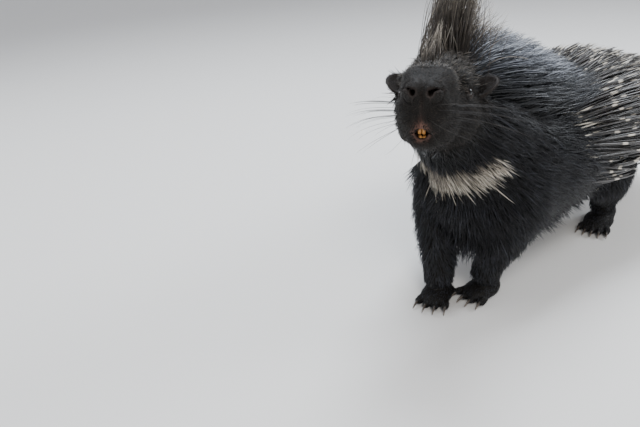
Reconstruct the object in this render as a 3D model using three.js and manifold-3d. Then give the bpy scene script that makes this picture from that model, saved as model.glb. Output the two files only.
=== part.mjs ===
// A crested porcupine standing still, at life size, as separate closed solids.
// Millimetres, +Z up. The animal faces -Y, its left is +X, and it stands on z = 0 with the
// centre of its bounding box over the origin. Every solid goes out to the tips of the coat.
import * as THREE from "three";
import { mergeVertices } from "three/addons/utils/BufferGeometryUtils.js";
import Module from "manifold-3d";

const wasm = await Module();
wasm.setup();

// ---- driving dimensions -------------------------------------------------------------------
const GAP = 0.35; // clearance between touching solids
const CENTRE = new THREE.Vector3(0, 24.53, 0); // the modelled bounding box's middle, at floor level

// Trunk, bare body: distance along Y, half width, height of the back, height of the belly
const TRUNK = [
  [-226, 64, 226, 98],
  [-190, 77, 244, 81],
  [-130, 92, 262, 79],
  [-60, 104, 269, 80],
  [20, 113, 273, 79],
  [100, 117, 273, 79],
  [170, 111, 263, 88],
  [220, 98, 245, 104],
  [264, 84, 226, 122],
];
const TRUNK_CAPS = [60, 74];
const TRUNK_BEND = { side: 10, from: 40, to: -200 }; // the shoulders stand a little to the left
// Depth of the coat on the trunk: distance along Y, on the side, on the back, under the belly
const TRUNK_COAT = [
  [-226, 12, 10, 22],
  [-130, 17, 16, 24],
  [-60, 16, 16, 17],
  [20, 10, 12, 12],
  [120, 7, 9, 10],
  [264, 6, 7, 8],
];
const FOREBODY_END = -32; // where the bristled forebody meets the quilled hindbody

// Quill mantle, out to the quill tips: distance along Y, half width, top, bottom
const MANTLE = [
  [-66, 114, 285, 150],
  [0, 131, 303, 98],
  [60, 145, 312, 70],
  [120, 154, 314, 62],
  [180, 158, 306, 68],
  [240, 153, 289, 86],
  [300, 140, 265, 108],
  [360, 120, 240, 128],
  [416, 92, 218, 146],
];
const MANTLE_CAPS = [30, 16];
const MANTLE_HEM = { front: 132, rear: 84, start: -60, end: 210 }; // its lower edge on the flank
const MANTLE_QUILLS = 18; // rows of quills round the mantle's edge

// Head: distance back from the nose tip, half width, top and bottom from the head's axis
const HEAD = [
  [0, 24, 34, -25],
  [14, 28, 40, -34],
  [30, 30, 47, -38],
  [50, 33, 53, -41],
  [70, 38, 58, -43],
  [90, 43, 60, -46],
  [110, 47, 60, -48],
  [132, 48, 57, -48],
  [160, 46, 48, -44],
];
const HEAD_CAPS = [17, 30];
const HEAD_COAT = [
  [0, 1, 1, 1],
  [40, 2, 3, 3],
  [80, 3, 6, 6],
  [120, 7, 8, 10],
  [160, 10, 10, 12],
];
const NOSE = new THREE.Vector3(62.5, -362.5, 332);
const HEAD_YAW = 26; // turned to its left
const HEAD_PITCH = 15; // nose up
const MOUTH = { back: 8, up: -21, wide: 9, deep: 14, high: 8 }; // the parted lips
const EYE = { back: 78, side: 34.5, up: 22, radius: 8.5 };
const EAR = { back: 116, side: 55, up: 29, high: 33, wide: 27, thick: 4.4, cup: 42 };
const INCISOR = { wide: 10, deep: 4, upper: 10, lower: 8.5 };

// Crest, out to the bristle tips: x, y, z of its middle, half width, half height
const CREST = [
  [33, -309, 369, 8, 12],
  [25, -291, 375, 13, 20],
  [16, -271, 382, 18, 31],
  [8, -249, 386, 22, 40],
  [2, -226, 412, 29, 80],
  [1, -203, 414, 32, 87],
  [2, -180, 424, 32, 70],
  [3, -158, 438, 28, 42],
];
const CREST_ROWS = 13;
// Mane over the shoulders, out to the bristle tips, in the same terms
const MANE = [
  [0, -216, 316, 46, 68],
  [2, -176, 310, 64, 77],
  [3, -136, 302, 80, 81],
  [3, -86, 290, 92, 76],
  [1, -28, 276, 96, 60],
  [0, 38, 268, 88, 37],
];
const MANE_ROWS = 12;

// Neck: x, y, z of its middle, half width, half height
const NECK = [
  [8, -120, 205, 92, 84],
  [8, -165, 234, 88, 82],
  [4, -206, 266, 78, 74],
  [-6, -236, 291, 66, 60],
];

// Legs from the shoulder or hip down: x, y, z, half width, half depth
const LEGS = {
  foreleg_left: [
    [58, -150, 176, 46, 52],
    [63, -150, 132, 42, 46],
    [55, -160, 92, 35, 37],
    [45, -171, 60, 27, 28],
    [39, -176, 34, 23, 24],
  ],
  foreleg_right: [
    [-44, -172, 176, 46, 52],
    [-43, -180, 132, 41, 46],
    [-29, -199, 92, 34, 37],
    [-13, -220, 60, 27, 28],
    [-7, -228, 34, 23, 24],
  ],
  hindleg_left: [
    [74, 118, 170, 48, 72],
    [84, 108, 120, 44, 60],
    [82, 124, 86, 35, 44],
    [74, 142, 56, 27, 30],
    [70, 147, 36, 23, 25],
  ],
  hindleg_right: [
    [-74, 132, 170, 48, 72],
    [-84, 128, 120, 44, 60],
    [-82, 152, 86, 35, 44],
    [-74, 176, 56, 27, 30],
    [-70, 182, 36, 23, 25],
  ],
};
const TURN = { foreleg_left: -8, foreleg_right: 18, hindleg_left: 10, hindleg_right: -12 }; // toes to its left
const SOLE = {
  fore: { wide: 23, ball: 28, at: -10, heel: 20, back: 6, high: 15, toes: 4, reach: 31, toe: 12, part: 30 },
  hind: { wide: 25, ball: 38, at: -15, heel: 27, back: 20, high: 17, toes: 5, reach: 47, toe: 14, part: 33 },
};
const CLAW = { long: 15, thick: 3, droop: 24 };

const TAIL = [
  [0, 250, 158, 27, 25],
  [0, 290, 140, 25, 22],
  [0, 330, 124, 22, 19],
  [0, 356, 115, 20, 17],
];
// The hollow quills that end the tail, as one tuft
const RATTLE = [
  [0, 352, 115, 17, 14],
  [0, 374, 106, 27, 23],
  [0, 396, 98, 30, 25],
  [0, 412, 94, 25, 21],
];

// ---- shape helpers ------------------------------------------------------------------------
const rad = THREE.MathUtils.degToRad;

// Smooth interpolation of a table's rows, by its first column.
function smooth(rows) {
  const slope = (i, k) => {
    const a = rows[Math.max(i - 1, 0)],
      b = rows[Math.min(i + 1, rows.length - 1)];
    return (b[k] - a[k]) / (b[0] - a[0]);
  };
  return (s) => {
    if (s <= rows[0][0]) return rows[0].slice(1);
    let i = 0;
    while (i < rows.length - 2 && s > rows[i + 1][0]) i++;
    const a = rows[i],
      b = rows[i + 1],
      h = b[0] - a[0],
      t = Math.min((s - a[0]) / h, 1);
    return a.slice(1).map((_, j) => {
      const k = j + 1;
      return (
        a[k] * (1 + 2 * t) * (1 - t) ** 2 +
        slope(i, k) * h * t * (1 - t) ** 2 +
        b[k] * t * t * (3 - 2 * t) +
        slope(i + 1, k) * h * t * t * (t - 1)
      );
    });
  };
}

// How much of the full section is left at distance s, near two rounded ends.
function capped(s, from, to, [first, last]) {
  let m = 1;
  if (s < from + first) m *= Math.sqrt(Math.max(0, 1 - (1 - (s - from) / first) ** 2));
  if (s > to - last) m *= Math.sqrt(Math.max(0, 1 - (1 - (to - s) / last) ** 2));
  return m;
}

// A closed skin wrapped on a sphere's grid: place(v, angle) is the point at share v of the length.
function wrap(place, around, along) {
  const g = new THREE.SphereGeometry(1, around, along);
  const p = g.getAttribute("position"),
    uv = g.getAttribute("uv");
  for (let i = 0; i < p.count; i++) {
    const v = 1 - uv.getY(i),
      q = place(v, 2 * Math.PI * uv.getX(i));
    p.setXYZ(i, q.x, q.y, q.z);
  }
  return solid(g);
}

// A three.js geometry as a manifold solid.
function solid(geometry) {
  const g = geometry.clone();
  g.deleteAttribute("normal");
  g.deleteAttribute("uv");
  const m = mergeVertices(g, 1e-3),
    index = [];
  for (let i = 0; i < m.index.count; i += 3) {
    const t = [0, 1, 2].map((k) => m.index.getX(i + k));
    if (t[0] !== t[1] && t[1] !== t[2] && t[0] !== t[2]) index.push(...t);
  }
  const make = (tri) =>
    new wasm.Manifold(
      new wasm.Mesh({
        numProp: 3,
        vertProperties: new Float32Array(m.getAttribute("position").array),
        triVerts: new Uint32Array(tri),
      }),
    );
  const made = make(index);
  if (made.volume() >= 0) return made;
  for (let i = 0; i < index.length; i += 3)
    [index[i + 1], index[i + 2]] = [index[i + 2], index[i + 1]];
  return make(index);
}

// A body of elliptical sections along a straight axis. grow swells it by that many millimetres.
function barrel(rows, caps, { origin, along, side, up, bend }, grow = 0, coat, size, ridges) {
  const at = smooth(rows),
    more = coat && smooth(coat),
    from = rows[0][0],
    to = rows[rows.length - 1][0];
  return wrap(
    (v, a) => {
      const s = from + ((to - from) * (1 - Math.cos(Math.PI * v))) / 2,
        m = capped(s, from, to, caps);
      let [w, top, bottom] = at(s);
      if (more) {
        const [cs, ct, cb] = more(s);
        [w, top, bottom] = [w + cs, top + ct, bottom - cb];
      }
      const mid = (top + bottom) / 2,
        f = ridges ? 1 + ridges.depth(s) * Math.cos(ridges.count * a) : 1,
        rx = (w + grow) * m * f,
        rz = ((top - bottom) / 2 + grow) * m * f;
      const reach = v === 0 ? -grow : v === 1 ? grow : 0;
      return origin
        .clone()
        .addScaledVector(along, s + reach)
        .addScaledVector(side, (bend ? bend(s) : 0) + rx * Math.cos(a))
        .addScaledVector(up, mid + rz * Math.sin(a));
    },
    size[0],
    size[1],
  );
}

// A limb of elliptical sections along a smooth spine through its stations.
function limb(
  stations,
  { grow = 0, around = 14, along = 12, caps = [0.16, 0.12], rows = 0, depth = 0, upright = false } = {},
) {
  const spine = new THREE.CatmullRomCurve3(stations.map(([x, y, z]) => new THREE.Vector3(x, y, z))),
    girth = smooth(stations.map((r, i) => [i / (stations.length - 1), r[3], r[4]])),
    level = upright ? new THREE.Vector3(0, 1, 0) : new THREE.Vector3(0, 0, 1),
    x = new THREE.Vector3(1, 0, 0);
  return wrap(
    (v, a) => {
      const t = (1 - Math.cos(Math.PI * v)) / 2,
        m = capped(t, 0, 1, caps),
        c = spine.getPoint(t),
        d = spine.getTangent(t),
        s = new THREE.Vector3().crossVectors(d, level).normalize();
      if (s.dot(x) < 0) s.negate();
      const u = new THREE.Vector3().crossVectors(s, d).normalize(),
        [w, h] = girth(t),
        f = 1 + depth * Math.cos(rows * a) * Math.min(1, 4 * t);
      return c
        .addScaledVector(d, v === 0 ? -grow : v === 1 ? grow : 0)
        .addScaledVector(s, (w + grow) * m * f * Math.cos(a))
        .addScaledVector(u, (h + grow) * m * f * Math.sin(a));
    },
    around,
    along,
  );
}

// Upright bristles: elliptical sections that stay square to the floor along a spine.
function fan(stations, { grow = 0, around, along, caps, rows, depth }) {
  const spine = new THREE.CatmullRomCurve3(stations.map(([x, y, z]) => new THREE.Vector3(x, y, z))),
    girth = smooth(stations.map((r, i) => [i / (stations.length - 1), r[3], r[4]]));
  return wrap(
    (v, a) => {
      const t = (1 - Math.cos(Math.PI * v)) / 2,
        m = capped(t, 0, 1, caps),
        c = spine.getPoint(t),
        d = spine.getTangent(t).setZ(0).normalize(),
        s = new THREE.Vector3(-d.y, d.x, 0),
        [w, h] = girth(t),
        f = 1 + depth * Math.cos(rows * a);
      return c
        .addScaledVector(d, v === 0 ? -grow : v === 1 ? grow : 0)
        .addScaledVector(s, (w + grow) * m * f * Math.cos(a))
        .add(new THREE.Vector3(0, 0, (h + grow) * m * f * Math.sin(a)));
    },
    around,
    along,
  );
}

const box = (x0, x1, y0, y1, z0, z1) =>
  solid(
    new THREE.BoxGeometry(x1 - x0, y1 - y0, z1 - z0).translate(
      (x0 + x1) / 2,
      (y0 + y1) / 2,
      (z0 + z1) / 2,
    ),
  );
const above = (z) => box(-400, 400, -500, 600, z, 600);
const below = (z) => box(-400, 400, -500, 600, -100, z);

// ---- the head's own frame -----------------------------------------------------------------
const forward = new THREE.Vector3(
  Math.sin(rad(HEAD_YAW)) * Math.cos(rad(HEAD_PITCH)),
  -Math.cos(rad(HEAD_YAW)) * Math.cos(rad(HEAD_PITCH)),
  Math.sin(rad(HEAD_PITCH)),
);
const leftward = new THREE.Vector3(Math.cos(rad(HEAD_YAW)), Math.sin(rad(HEAD_YAW)), 0);
const headUp = new THREE.Vector3().crossVectors(forward, leftward).normalize();
if (headUp.z < 0) headUp.negate();
const backward = forward.clone().negate();
const headFrame = { origin: NOSE, along: backward, side: leftward, up: headUp };
// from head measures (side, back, up) to the part's frame
const headMatrix = new THREE.Matrix4().makeBasis(leftward, backward, headUp).setPosition(NOSE);
const inHead = (geometry) => solid(geometry.applyMatrix4(headMatrix));

const bend = (s) =>
  TRUNK_BEND.side * THREE.MathUtils.smoothstep(TRUNK_BEND.from - s, 0, TRUNK_BEND.from - TRUNK_BEND.to);
const trunkFrame = {
  origin: new THREE.Vector3(),
  along: new THREE.Vector3(0, 1, 0),
  side: new THREE.Vector3(1, 0, 0),
  up: new THREE.Vector3(0, 0, 1),
  bend,
};

// ---- the trunk and its quills -------------------------------------------------------------
const trunk = (grow) => barrel(TRUNK, TRUNK_CAPS, trunkFrame, grow, TRUNK_COAT, [22, 14]);
const body = trunk(0);
const tailOf = (grow) => limb(TAIL, { grow, around: 12, along: 7, caps: [0.2, 0.12] });
const rattleOf = (grow) =>
  limb(RATTLE, { grow, around: 18, along: 7, caps: [0.25, 0.2], rows: 9, depth: 0.09 });

const mantleOuter = (grow) =>
  barrel(MANTLE, MANTLE_CAPS, { ...trunkFrame, bend: null }, grow, null, [2 * MANTLE_QUILLS, 10], {
    count: MANTLE_QUILLS,
    depth: (s) => 0.01 + 0.035 * THREE.MathUtils.smoothstep(s, 120, 400),
  });
// The hem: everything below a sloping plane on the flank is left open for the belly and the legs.
const hem = solid(
  new THREE.ExtrudeGeometry(
    new THREE.Shape([
      new THREE.Vector2(-140, -60),
      new THREE.Vector2(300, -60),
      new THREE.Vector2(300, MANTLE_HEM.rear),
      new THREE.Vector2(MANTLE_HEM.end, MANTLE_HEM.rear),
      new THREE.Vector2(MANTLE_HEM.start, MANTLE_HEM.front),
      new THREE.Vector2(-140, MANTLE_HEM.front + 20),
    ]),
    { depth: 500, bevelEnabled: false },
  )
    .rotateX(Math.PI / 2)
    .rotateZ(Math.PI / 2)
    .translate(-250, 0, 0),
);
// Room under the mantle for the tail and its tuft, open downwards.
const lower = (rows, y, z) => rows.map((r) => [r[0], r[1] + y, r[2] + z, r[3], r[4]]);
const tailRoom = limb(TAIL, { grow: 6, around: 10, along: 6 })
  .add(limb(RATTLE, { grow: 9, around: 10, along: 6 }))
  .add(limb(lower(TAIL, 0, -30), { grow: 6, around: 10, along: 6 }))
  .add(limb(lower(RATTLE, 10, -26), { grow: 9, around: 10, along: 6 }));
const mantle = mantleOuter(0).subtract(trunk(GAP)).subtract(hem).subtract(tailRoom);
const mantleRoom = mantleOuter(GAP).subtract(hem.translate([0, 0, -GAP]));

// ---- head, neck, crest and mane -----------------------------------------------------------
const headOf = (grow) => barrel(HEAD, HEAD_CAPS, headFrame, grow, HEAD_COAT, [18, 13]);
const neckOf = (grow) => limb(NECK, { grow, around: 18, along: 7, caps: [0.3, 0.25] });
const crestOf = (grow) =>
  fan(CREST, { grow, around: 2 * CREST_ROWS, along: 11, caps: [0.12, 0.16], rows: CREST_ROWS, depth: 0.03 });
const maneOf = (grow) =>
  fan(MANE, { grow, around: 2 * MANE_ROWS, along: 7, caps: [0.2, 0.2], rows: MANE_ROWS, depth: 0.025 });

const earOf = (side, grow = 0) => {
  const g = new THREE.SphereGeometry(1, 10, 7).scale(
    EAR.wide / 2 + grow,
    EAR.thick / 2 + grow,
    EAR.high / 2 + grow,
  );
  const p = g.getAttribute("position");
  for (let i = 0; i < p.count; i++) p.setY(i, p.getY(i) - p.getX(i) ** 2 / EAR.cup); // cupped forward
  return inHead(
    g
      .rotateX(rad(-14))
      .rotateZ(rad(side * -38))
      .rotateY(rad(side * 36))
      .translate(side * EAR.side, EAR.back, EAR.up),
  );
};
const eyeOf = (side, grow = 0) =>
  inHead(new THREE.SphereGeometry(EYE.radius + grow, 10, 6).translate(side * EYE.side, EYE.back, EYE.up));
const toothOf = (upper, grow = 0) =>
  inHead(
    new THREE.CylinderGeometry(
      INCISOR.wide / 2 + grow,
      INCISOR.wide / 2.3 + grow,
      (upper ? INCISOR.upper : INCISOR.lower) + 2 * grow,
      8,
    )
      .rotateX(Math.PI / 2)
      .scale(1, INCISOR.deep / INCISOR.wide, 1)
      .rotateX(rad(upper ? 10 : -14))
      .translate(0, upper ? 9.5 : 13.5, upper ? -18 : -27.6),
  );

const head = headOf(0)
  .subtract(
    inHead(new THREE.SphereGeometry(1, 10, 6).scale(MOUTH.wide, MOUTH.deep, MOUTH.high).translate(0, MOUTH.back, MOUTH.up)),
  )
  .subtract(earOf(1, GAP))
  .subtract(earOf(-1, GAP))
  .subtract(eyeOf(1, GAP))
  .subtract(eyeOf(-1, GAP))
  .subtract(toothOf(true, GAP))
  .subtract(toothOf(false, GAP));
const neck = neckOf(0)
  .subtract(headOf(GAP))
  .subtract(trunk(GAP))
  .subtract(earOf(1, GAP))
  .subtract(earOf(-1, GAP));
const crest = crestOf(0)
  .subtract(headOf(GAP))
  .subtract(neckOf(GAP))
  .subtract(trunk(GAP))
  .subtract(earOf(1, 1))
  .subtract(earOf(-1, 1));
const mane = maneOf(0)
  .subtract(headOf(GAP))
  .subtract(neckOf(GAP))
  .subtract(trunk(GAP))
  .subtract(crestOf(GAP))
  .subtract(mantleOuter(GAP));

// ---- legs and feet ------------------------------------------------------------------------
// A foot points to -Y from an ankle over the origin: sole, heel, toes and claws, joined.
function foot({ wide, ball, at, heel, back, high, toes, reach, toe }) {
  const dome = (x, y, z, rx, ry, rz, around = 10, rings = 5) =>
    solid(new THREE.SphereGeometry(1, around, rings).scale(rx, ry, rz).translate(x, y, z));
  let made = dome(0, at, 11, wide, ball, high - 2).add(dome(0, back, 13, wide * 0.82, heel, high + 2));
  for (let i = 0; i < toes; i++) {
    const f = i / (toes - 1) - 0.5,
      turn = f * 0.42,
      x = f * wide * 1.62,
      y = -reach + 22 * f * f;
    made = made
      .add(
        solid(new THREE.SphereGeometry(1, 7, 4).scale(6.2, toe, 7.6).rotateZ(turn).translate(x, y, 7.8)),
      )
      .add(
        solid(
          new THREE.ConeGeometry(CLAW.thick, CLAW.long, 4)
            .rotateX(Math.PI)
            .translate(0, -CLAW.long / 2, 0)
            .rotateX(rad(CLAW.droop))
            .translate(0, -toe * 0.7, 1.2)
            .rotateZ(turn)
            .translate(x, y, 7.8),
        ),
      );
  }
  return made;
}

const limbs = {};
for (const [name, stations] of Object.entries(LEGS)) {
  const sole = name.startsWith("fore") ? SOLE.fore : SOLE.hind,
    [x, y] = stations[stations.length - 1],
    whole = limb(stations, { around: 14, along: 9, caps: [0.2, 0.04], upright: true })
      .add(foot(sole).rotate([0, 0, TURN[name]]).translate([x, y, 0]))
      .subtract(below(0));
  limbs[name.replace("leg", "foot")] = whole.subtract(above(sole.part));
  limbs[name] = whole
    .subtract(below(sole.part + GAP))
    .subtract(trunk(GAP))
    .subtract(neckOf(GAP))
    .subtract(mantleRoom);
}

// ---- the named meshes ---------------------------------------------------------------------
const LOOKS = {
  skin: { color: 0x2a211b, roughness: 0.8, metalness: 0 },
  coat: { color: 0x17130f, roughness: 0.72, metalness: 0 },
  crest: { color: 0x6b6258, roughness: 0.7, metalness: 0 },
  quill: { color: 0x4a443d, roughness: 0.45, metalness: 0 },
  collar: { color: 0x8b8072, roughness: 0.7, metalness: 0 },
  eye: { color: 0x0a0706, roughness: 0.08, metalness: 0 },
  tooth: { color: 0xc07a2c, roughness: 0.35, metalness: 0 },
  ear: { color: 0x3c2e28, roughness: 0.7, metalness: 0 },
  rattle: { color: 0xd9d2c4, roughness: 0.5, metalness: 0 },
};

const group = new THREE.Group();
function add(name, made, look) {
  // the body itself, without crumbs that a cut left beside it
  const m = made
      .decompose()
      .sort((a, b) => b.volume() - a.volume())[0]
      .getMesh(),
    n = m.numProp,
    v = new Float32Array(m.numVert * 3);
  for (let i = 0; i < m.numVert; i++) v.set(m.vertProperties.subarray(i * n, i * n + 3), i * 3);
  const g = new THREE.BufferGeometry()
    .setAttribute("position", new THREE.BufferAttribute(v, 3))
    .setIndex(new THREE.BufferAttribute(new Uint32Array(m.triVerts), 1));
  g.computeVertexNormals();
  const mesh = new THREE.Mesh(g, new THREE.MeshStandardMaterial(LOOKS[look]));
  mesh.name = name;
  group.add(mesh);
}

const front = box(-300, 300, -400, FOREBODY_END - GAP / 2, -50, 500),
  rear = box(-300, 300, FOREBODY_END + GAP / 2, 700, -50, 500);
add("forebody", body.intersect(front), "coat");
add("hindbody", body.intersect(rear).subtract(tailOf(GAP)), "coat");
add("neck", neck, "collar");
add("head", head, "skin");
add("crest", crest, "crest");
add("mane", mane, "coat");
add("quills_left", mantle.intersect(box(GAP / 2, 300, -200, 600, -50, 500)), "quill");
add("quills_right", mantle.intersect(box(-300, -GAP / 2, -200, 600, -50, 500)), "quill");
add("tail", tailOf(0).subtract(rattleOf(GAP)), "coat");
add("tail_rattle", rattleOf(0), "rattle");
add("ear_left", earOf(1), "ear");
add("ear_right", earOf(-1), "ear");
add("eye_left", eyeOf(1), "eye");
add("eye_right", eyeOf(-1), "eye");
add("incisors_upper", toothOf(true), "tooth");
add("incisors_lower", toothOf(false), "tooth");
for (const name of Object.keys(limbs)) add(name, limbs[name], "coat");

group.position.copy(CENTRE).negate();
export default group;
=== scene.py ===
# The looks of a crested porcupine standing still: one skin, eyes, teeth, claws, and a coat of
# solid bristles and quills that stays inside the solids' outline.
import math

import bmesh
import bpy
import numpy as np
from mathutils import Matrix, Vector


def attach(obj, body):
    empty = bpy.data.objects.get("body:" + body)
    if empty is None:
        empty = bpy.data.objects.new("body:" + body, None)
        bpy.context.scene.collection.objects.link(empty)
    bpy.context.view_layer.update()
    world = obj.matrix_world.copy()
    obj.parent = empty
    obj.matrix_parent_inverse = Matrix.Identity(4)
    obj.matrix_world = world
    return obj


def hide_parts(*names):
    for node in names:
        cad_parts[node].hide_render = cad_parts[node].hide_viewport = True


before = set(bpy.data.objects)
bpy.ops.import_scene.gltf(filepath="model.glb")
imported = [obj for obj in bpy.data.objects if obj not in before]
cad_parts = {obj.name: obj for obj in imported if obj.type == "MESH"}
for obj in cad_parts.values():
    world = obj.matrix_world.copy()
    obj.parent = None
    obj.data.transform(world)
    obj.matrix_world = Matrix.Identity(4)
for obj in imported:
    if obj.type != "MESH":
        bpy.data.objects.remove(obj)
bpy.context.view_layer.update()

rng = np.random.default_rng(11)
CENTRE = np.array([0.0, 24.53, 0.0])  # the modelled measures' offset from the row frame, mm

# ---- sizes, mm ----------------------------------------------------------------------------
TRUNK = [
    (-226, 64, 226, 98),
    (-190, 77, 244, 81),
    (-130, 92, 262, 79),
    (-60, 104, 269, 80),
    (20, 113, 273, 79),
    (100, 117, 273, 79),
    (170, 111, 263, 88),
    (220, 98, 245, 104),
    (264, 84, 226, 122),
]
TRUNK_CAPS = (60, 74)
MANTLE = [
    (-66, 114, 285, 150),
    (0, 131, 303, 98),
    (60, 145, 312, 70),
    (120, 154, 314, 62),
    (180, 158, 306, 68),
    (240, 153, 289, 86),
    (300, 140, 265, 108),
    (360, 120, 240, 128),
    (416, 92, 218, 146),
]
HEAD = [
    (0, 24, 34, -25),
    (14, 28, 40, -34),
    (30, 30, 47, -38),
    (50, 33, 53, -41),
    (70, 38, 58, -43),
    (90, 43, 60, -46),
    (110, 47, 60, -48),
    (132, 48, 57, -48),
    (160, 46, 48, -44),
]
HEAD_CAPS = (17, 30)
NOSE = np.array([62.5, -362.5, 332.0])
HEAD_YAW, HEAD_PITCH = math.radians(26), math.radians(15)
EYE = np.array([34.5, 78.0, 22.0])
NOSTRIL = np.array([9.6, -3.0, 22.0])
EYE_R = 8.5
EAR = dict(back=116, side=55, up=29, high=33, wide=27, cup=42)
CREST = [
    (33, -309, 369, 8, 12),
    (25, -291, 375, 13, 20),
    (16, -271, 382, 18, 31),
    (8, -249, 386, 22, 40),
    (2, -226, 412, 29, 80),
    (1, -203, 414, 32, 87),
    (2, -180, 424, 32, 70),
    (3, -158, 438, 28, 42),
]
MANE = [
    (0, -216, 316, 46, 68),
    (2, -176, 310, 64, 77),
    (3, -136, 302, 80, 81),
    (3, -86, 290, 92, 76),
    (1, -28, 276, 96, 60),
    (0, 38, 268, 88, 37),
]
NECK = [
    (8, -120, 205, 92, 84),
    (8, -165, 234, 88, 82),
    (4, -206, 266, 78, 74),
    (-6, -236, 291, 66, 60),
]
LEGS = {
    "foreleg_left": [
        (58, -150, 176, 46, 52),
        (63, -150, 132, 42, 46),
        (55, -160, 92, 35, 37),
        (45, -171, 60, 27, 28),
        (39, -176, 34, 23, 24),
    ],
    "foreleg_right": [
        (-44, -172, 176, 46, 52),
        (-43, -180, 132, 41, 46),
        (-29, -199, 92, 34, 37),
        (-13, -220, 60, 27, 28),
        (-7, -228, 34, 23, 24),
    ],
    "hindleg_left": [
        (74, 118, 170, 48, 72),
        (84, 108, 120, 44, 60),
        (82, 124, 86, 35, 44),
        (74, 142, 56, 27, 30),
        (70, 147, 36, 23, 25),
    ],
    "hindleg_right": [
        (-74, 132, 170, 48, 72),
        (-84, 128, 120, 44, 60),
        (-82, 152, 86, 35, 44),
        (-74, 176, 56, 27, 30),
        (-70, 182, 36, 23, 25),
    ],
}
TURN = {"foreleg_left": -8, "foreleg_right": 18, "hindleg_left": 10, "hindleg_right": -12}
SOLE = {
    "fore": dict(wide=23, ball=28, at=-10, heel=20, back=6, high=15, toes=4, reach=31, toe=12),
    "hind": dict(wide=25, ball=38, at=-15, heel=27, back=20, high=17, toes=5, reach=47, toe=14),
}
CLAW = dict(long=15, thick=3, droop=24)
TAIL = [
    (0, 250, 158, 27, 25),
    (0, 290, 140, 25, 22),
    (0, 330, 124, 22, 19),
    (0, 356, 115, 20, 17),
]
RATTLE = [
    (0, 352, 115, 17, 14),
    (0, 374, 106, 27, 23),
    (0, 396, 98, 30, 25),
    (0, 412, 94, 25, 21),
]


def unit(v):
    return v / np.maximum(np.linalg.norm(v, axis=-1, keepdims=True), 1e-9)


def smooth(rows):
    """Smooth interpolation of a table's rows by its first column."""
    r = np.array(rows, float)
    x, v = r[:, 0], r[:, 1:]
    m = np.empty_like(v)
    for i in range(len(x)):
        a, b = max(i - 1, 0), min(i + 1, len(x) - 1)
        m[i] = (v[b] - v[a]) / (x[b] - x[a])

    def at(s):
        s = np.clip(s, x[0], x[-1])
        i = np.clip(np.searchsorted(x, s, side="right") - 1, 0, len(x) - 2)
        h = x[i + 1] - x[i]
        t = ((s - x[i]) / h)[..., None]
        h = h[..., None]
        return (
            v[i] * (1 + 2 * t) * (1 - t) ** 2
            + m[i] * h * t * (1 - t) ** 2
            + v[i + 1] * t * t * (3 - 2 * t)
            + m[i + 1] * h * t * t * (t - 1)
        )

    return at


# ---- distance fields ----------------------------------------------------------------------
def smin(a, b, k):
    h = np.clip(0.5 + 0.5 * (b - a) / k, 0, 1)
    return b * (1 - h) + a * h - k * h * (1 - h)


def smax(a, b, k):
    return -smin(-a, -b, k)


def bend(y):
    t = np.clip((40 - y) / 240, 0, 1)
    return 10 * t * t * (3 - 2 * t)


def barrel(p, rows, caps, shift=None, grow=0.0):
    at = smooth(rows)(p[..., 1])
    w, top, bottom = at[..., 0] + grow, at[..., 1], at[..., 2]
    mid, h = (top + bottom) / 2, (top - bottom) / 2 + grow
    first = np.maximum(rows[0][0] + caps[0] - p[..., 1], 0)
    last = np.maximum(p[..., 1] - (rows[-1][0] - caps[1]), 0)
    cap = np.where(first > 0, caps[0], caps[1])
    e = (first + last) / cap
    x = p[..., 0] - (shift(p[..., 1]) if shift else 0)
    z = p[..., 2] - mid
    k0 = np.sqrt((x / w) ** 2 + (z / h) ** 2 + e * e)
    k1 = np.sqrt((x / w**2) ** 2 + (z / h**2) ** 2 + (e / cap) ** 2)
    return k0 * (k0 - 1) / np.maximum(k1, 1e-4)


def ell(p, c, r, turn=0.0):
    q = p - np.array(c, float)
    if turn:
        a, b = math.cos(turn), math.sin(turn)
        q = np.stack([a * q[..., 0] + b * q[..., 1], -b * q[..., 0] + a * q[..., 1], q[..., 2]], -1)
    r = np.array(r, float)
    k0 = np.linalg.norm(q / r, axis=-1)
    k1 = np.linalg.norm(q / r**2, axis=-1)
    return k0 * (k0 - 1) / np.maximum(k1, 1e-4)


class Tube:
    """A limb of elliptical sections along a spine."""

    def __init__(self, stations, inset=(0, 0), n=22, upright=False):
        st = np.array(stations, float)
        k = len(st)
        t = np.linspace(0, 1, n)
        s = smooth(np.c_[np.arange(k) / (k - 1), st])(t)
        self.c = s[:, :3]
        self.r = np.maximum(s[:, 3:5] - np.linspace(inset[0], inset[1], n)[:, None], 2)
        d = unit(np.gradient(self.c, axis=0))
        level = np.array([0, 1.0, 0]) if upright else np.array([0, 0, 1.0])
        side = unit(np.cross(d, level))
        side[side[:, 0] < 0] *= -1
        self.d, self.s, self.u = d, side, unit(np.cross(side, d))

    def nearest(self, p):
        best = np.full(len(p), 1e18)
        at = np.zeros(len(p))
        for i in range(len(self.c) - 1):
            a, d = self.c[i], self.c[i + 1] - self.c[i]
            u = np.clip((p - a) @ d / (d @ d), 0, 1)
            q = p - (a + u[:, None] * d)
            dd = (q * q).sum(1)
            m = dd < best
            best[m], at[m] = dd[m], i + u[m]
        return at

    def __call__(self, p):
        at = self.nearest(p)
        i = np.clip(at.astype(int), 0, len(self.c) - 2)
        f = (at - i)[:, None]
        mix = lambda a: a[i] * (1 - f) + a[i + 1] * f
        q = p - mix(self.c)
        r = mix(self.r)
        cap = r.min(1) * 0.6
        x = (q * mix(self.s)).sum(1)
        y = (q * mix(self.u)).sum(1)
        z = (q * mix(self.d)).sum(1)
        k0 = np.sqrt((x / r[:, 0]) ** 2 + (y / r[:, 1]) ** 2 + (z / cap) ** 2)
        k1 = np.sqrt((x / r[:, 0] ** 2) ** 2 + (y / r[:, 1] ** 2) ** 2 + (z / cap**2) ** 2)
        return k0 * (k0 - 1) / np.maximum(k1, 1e-4)


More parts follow.
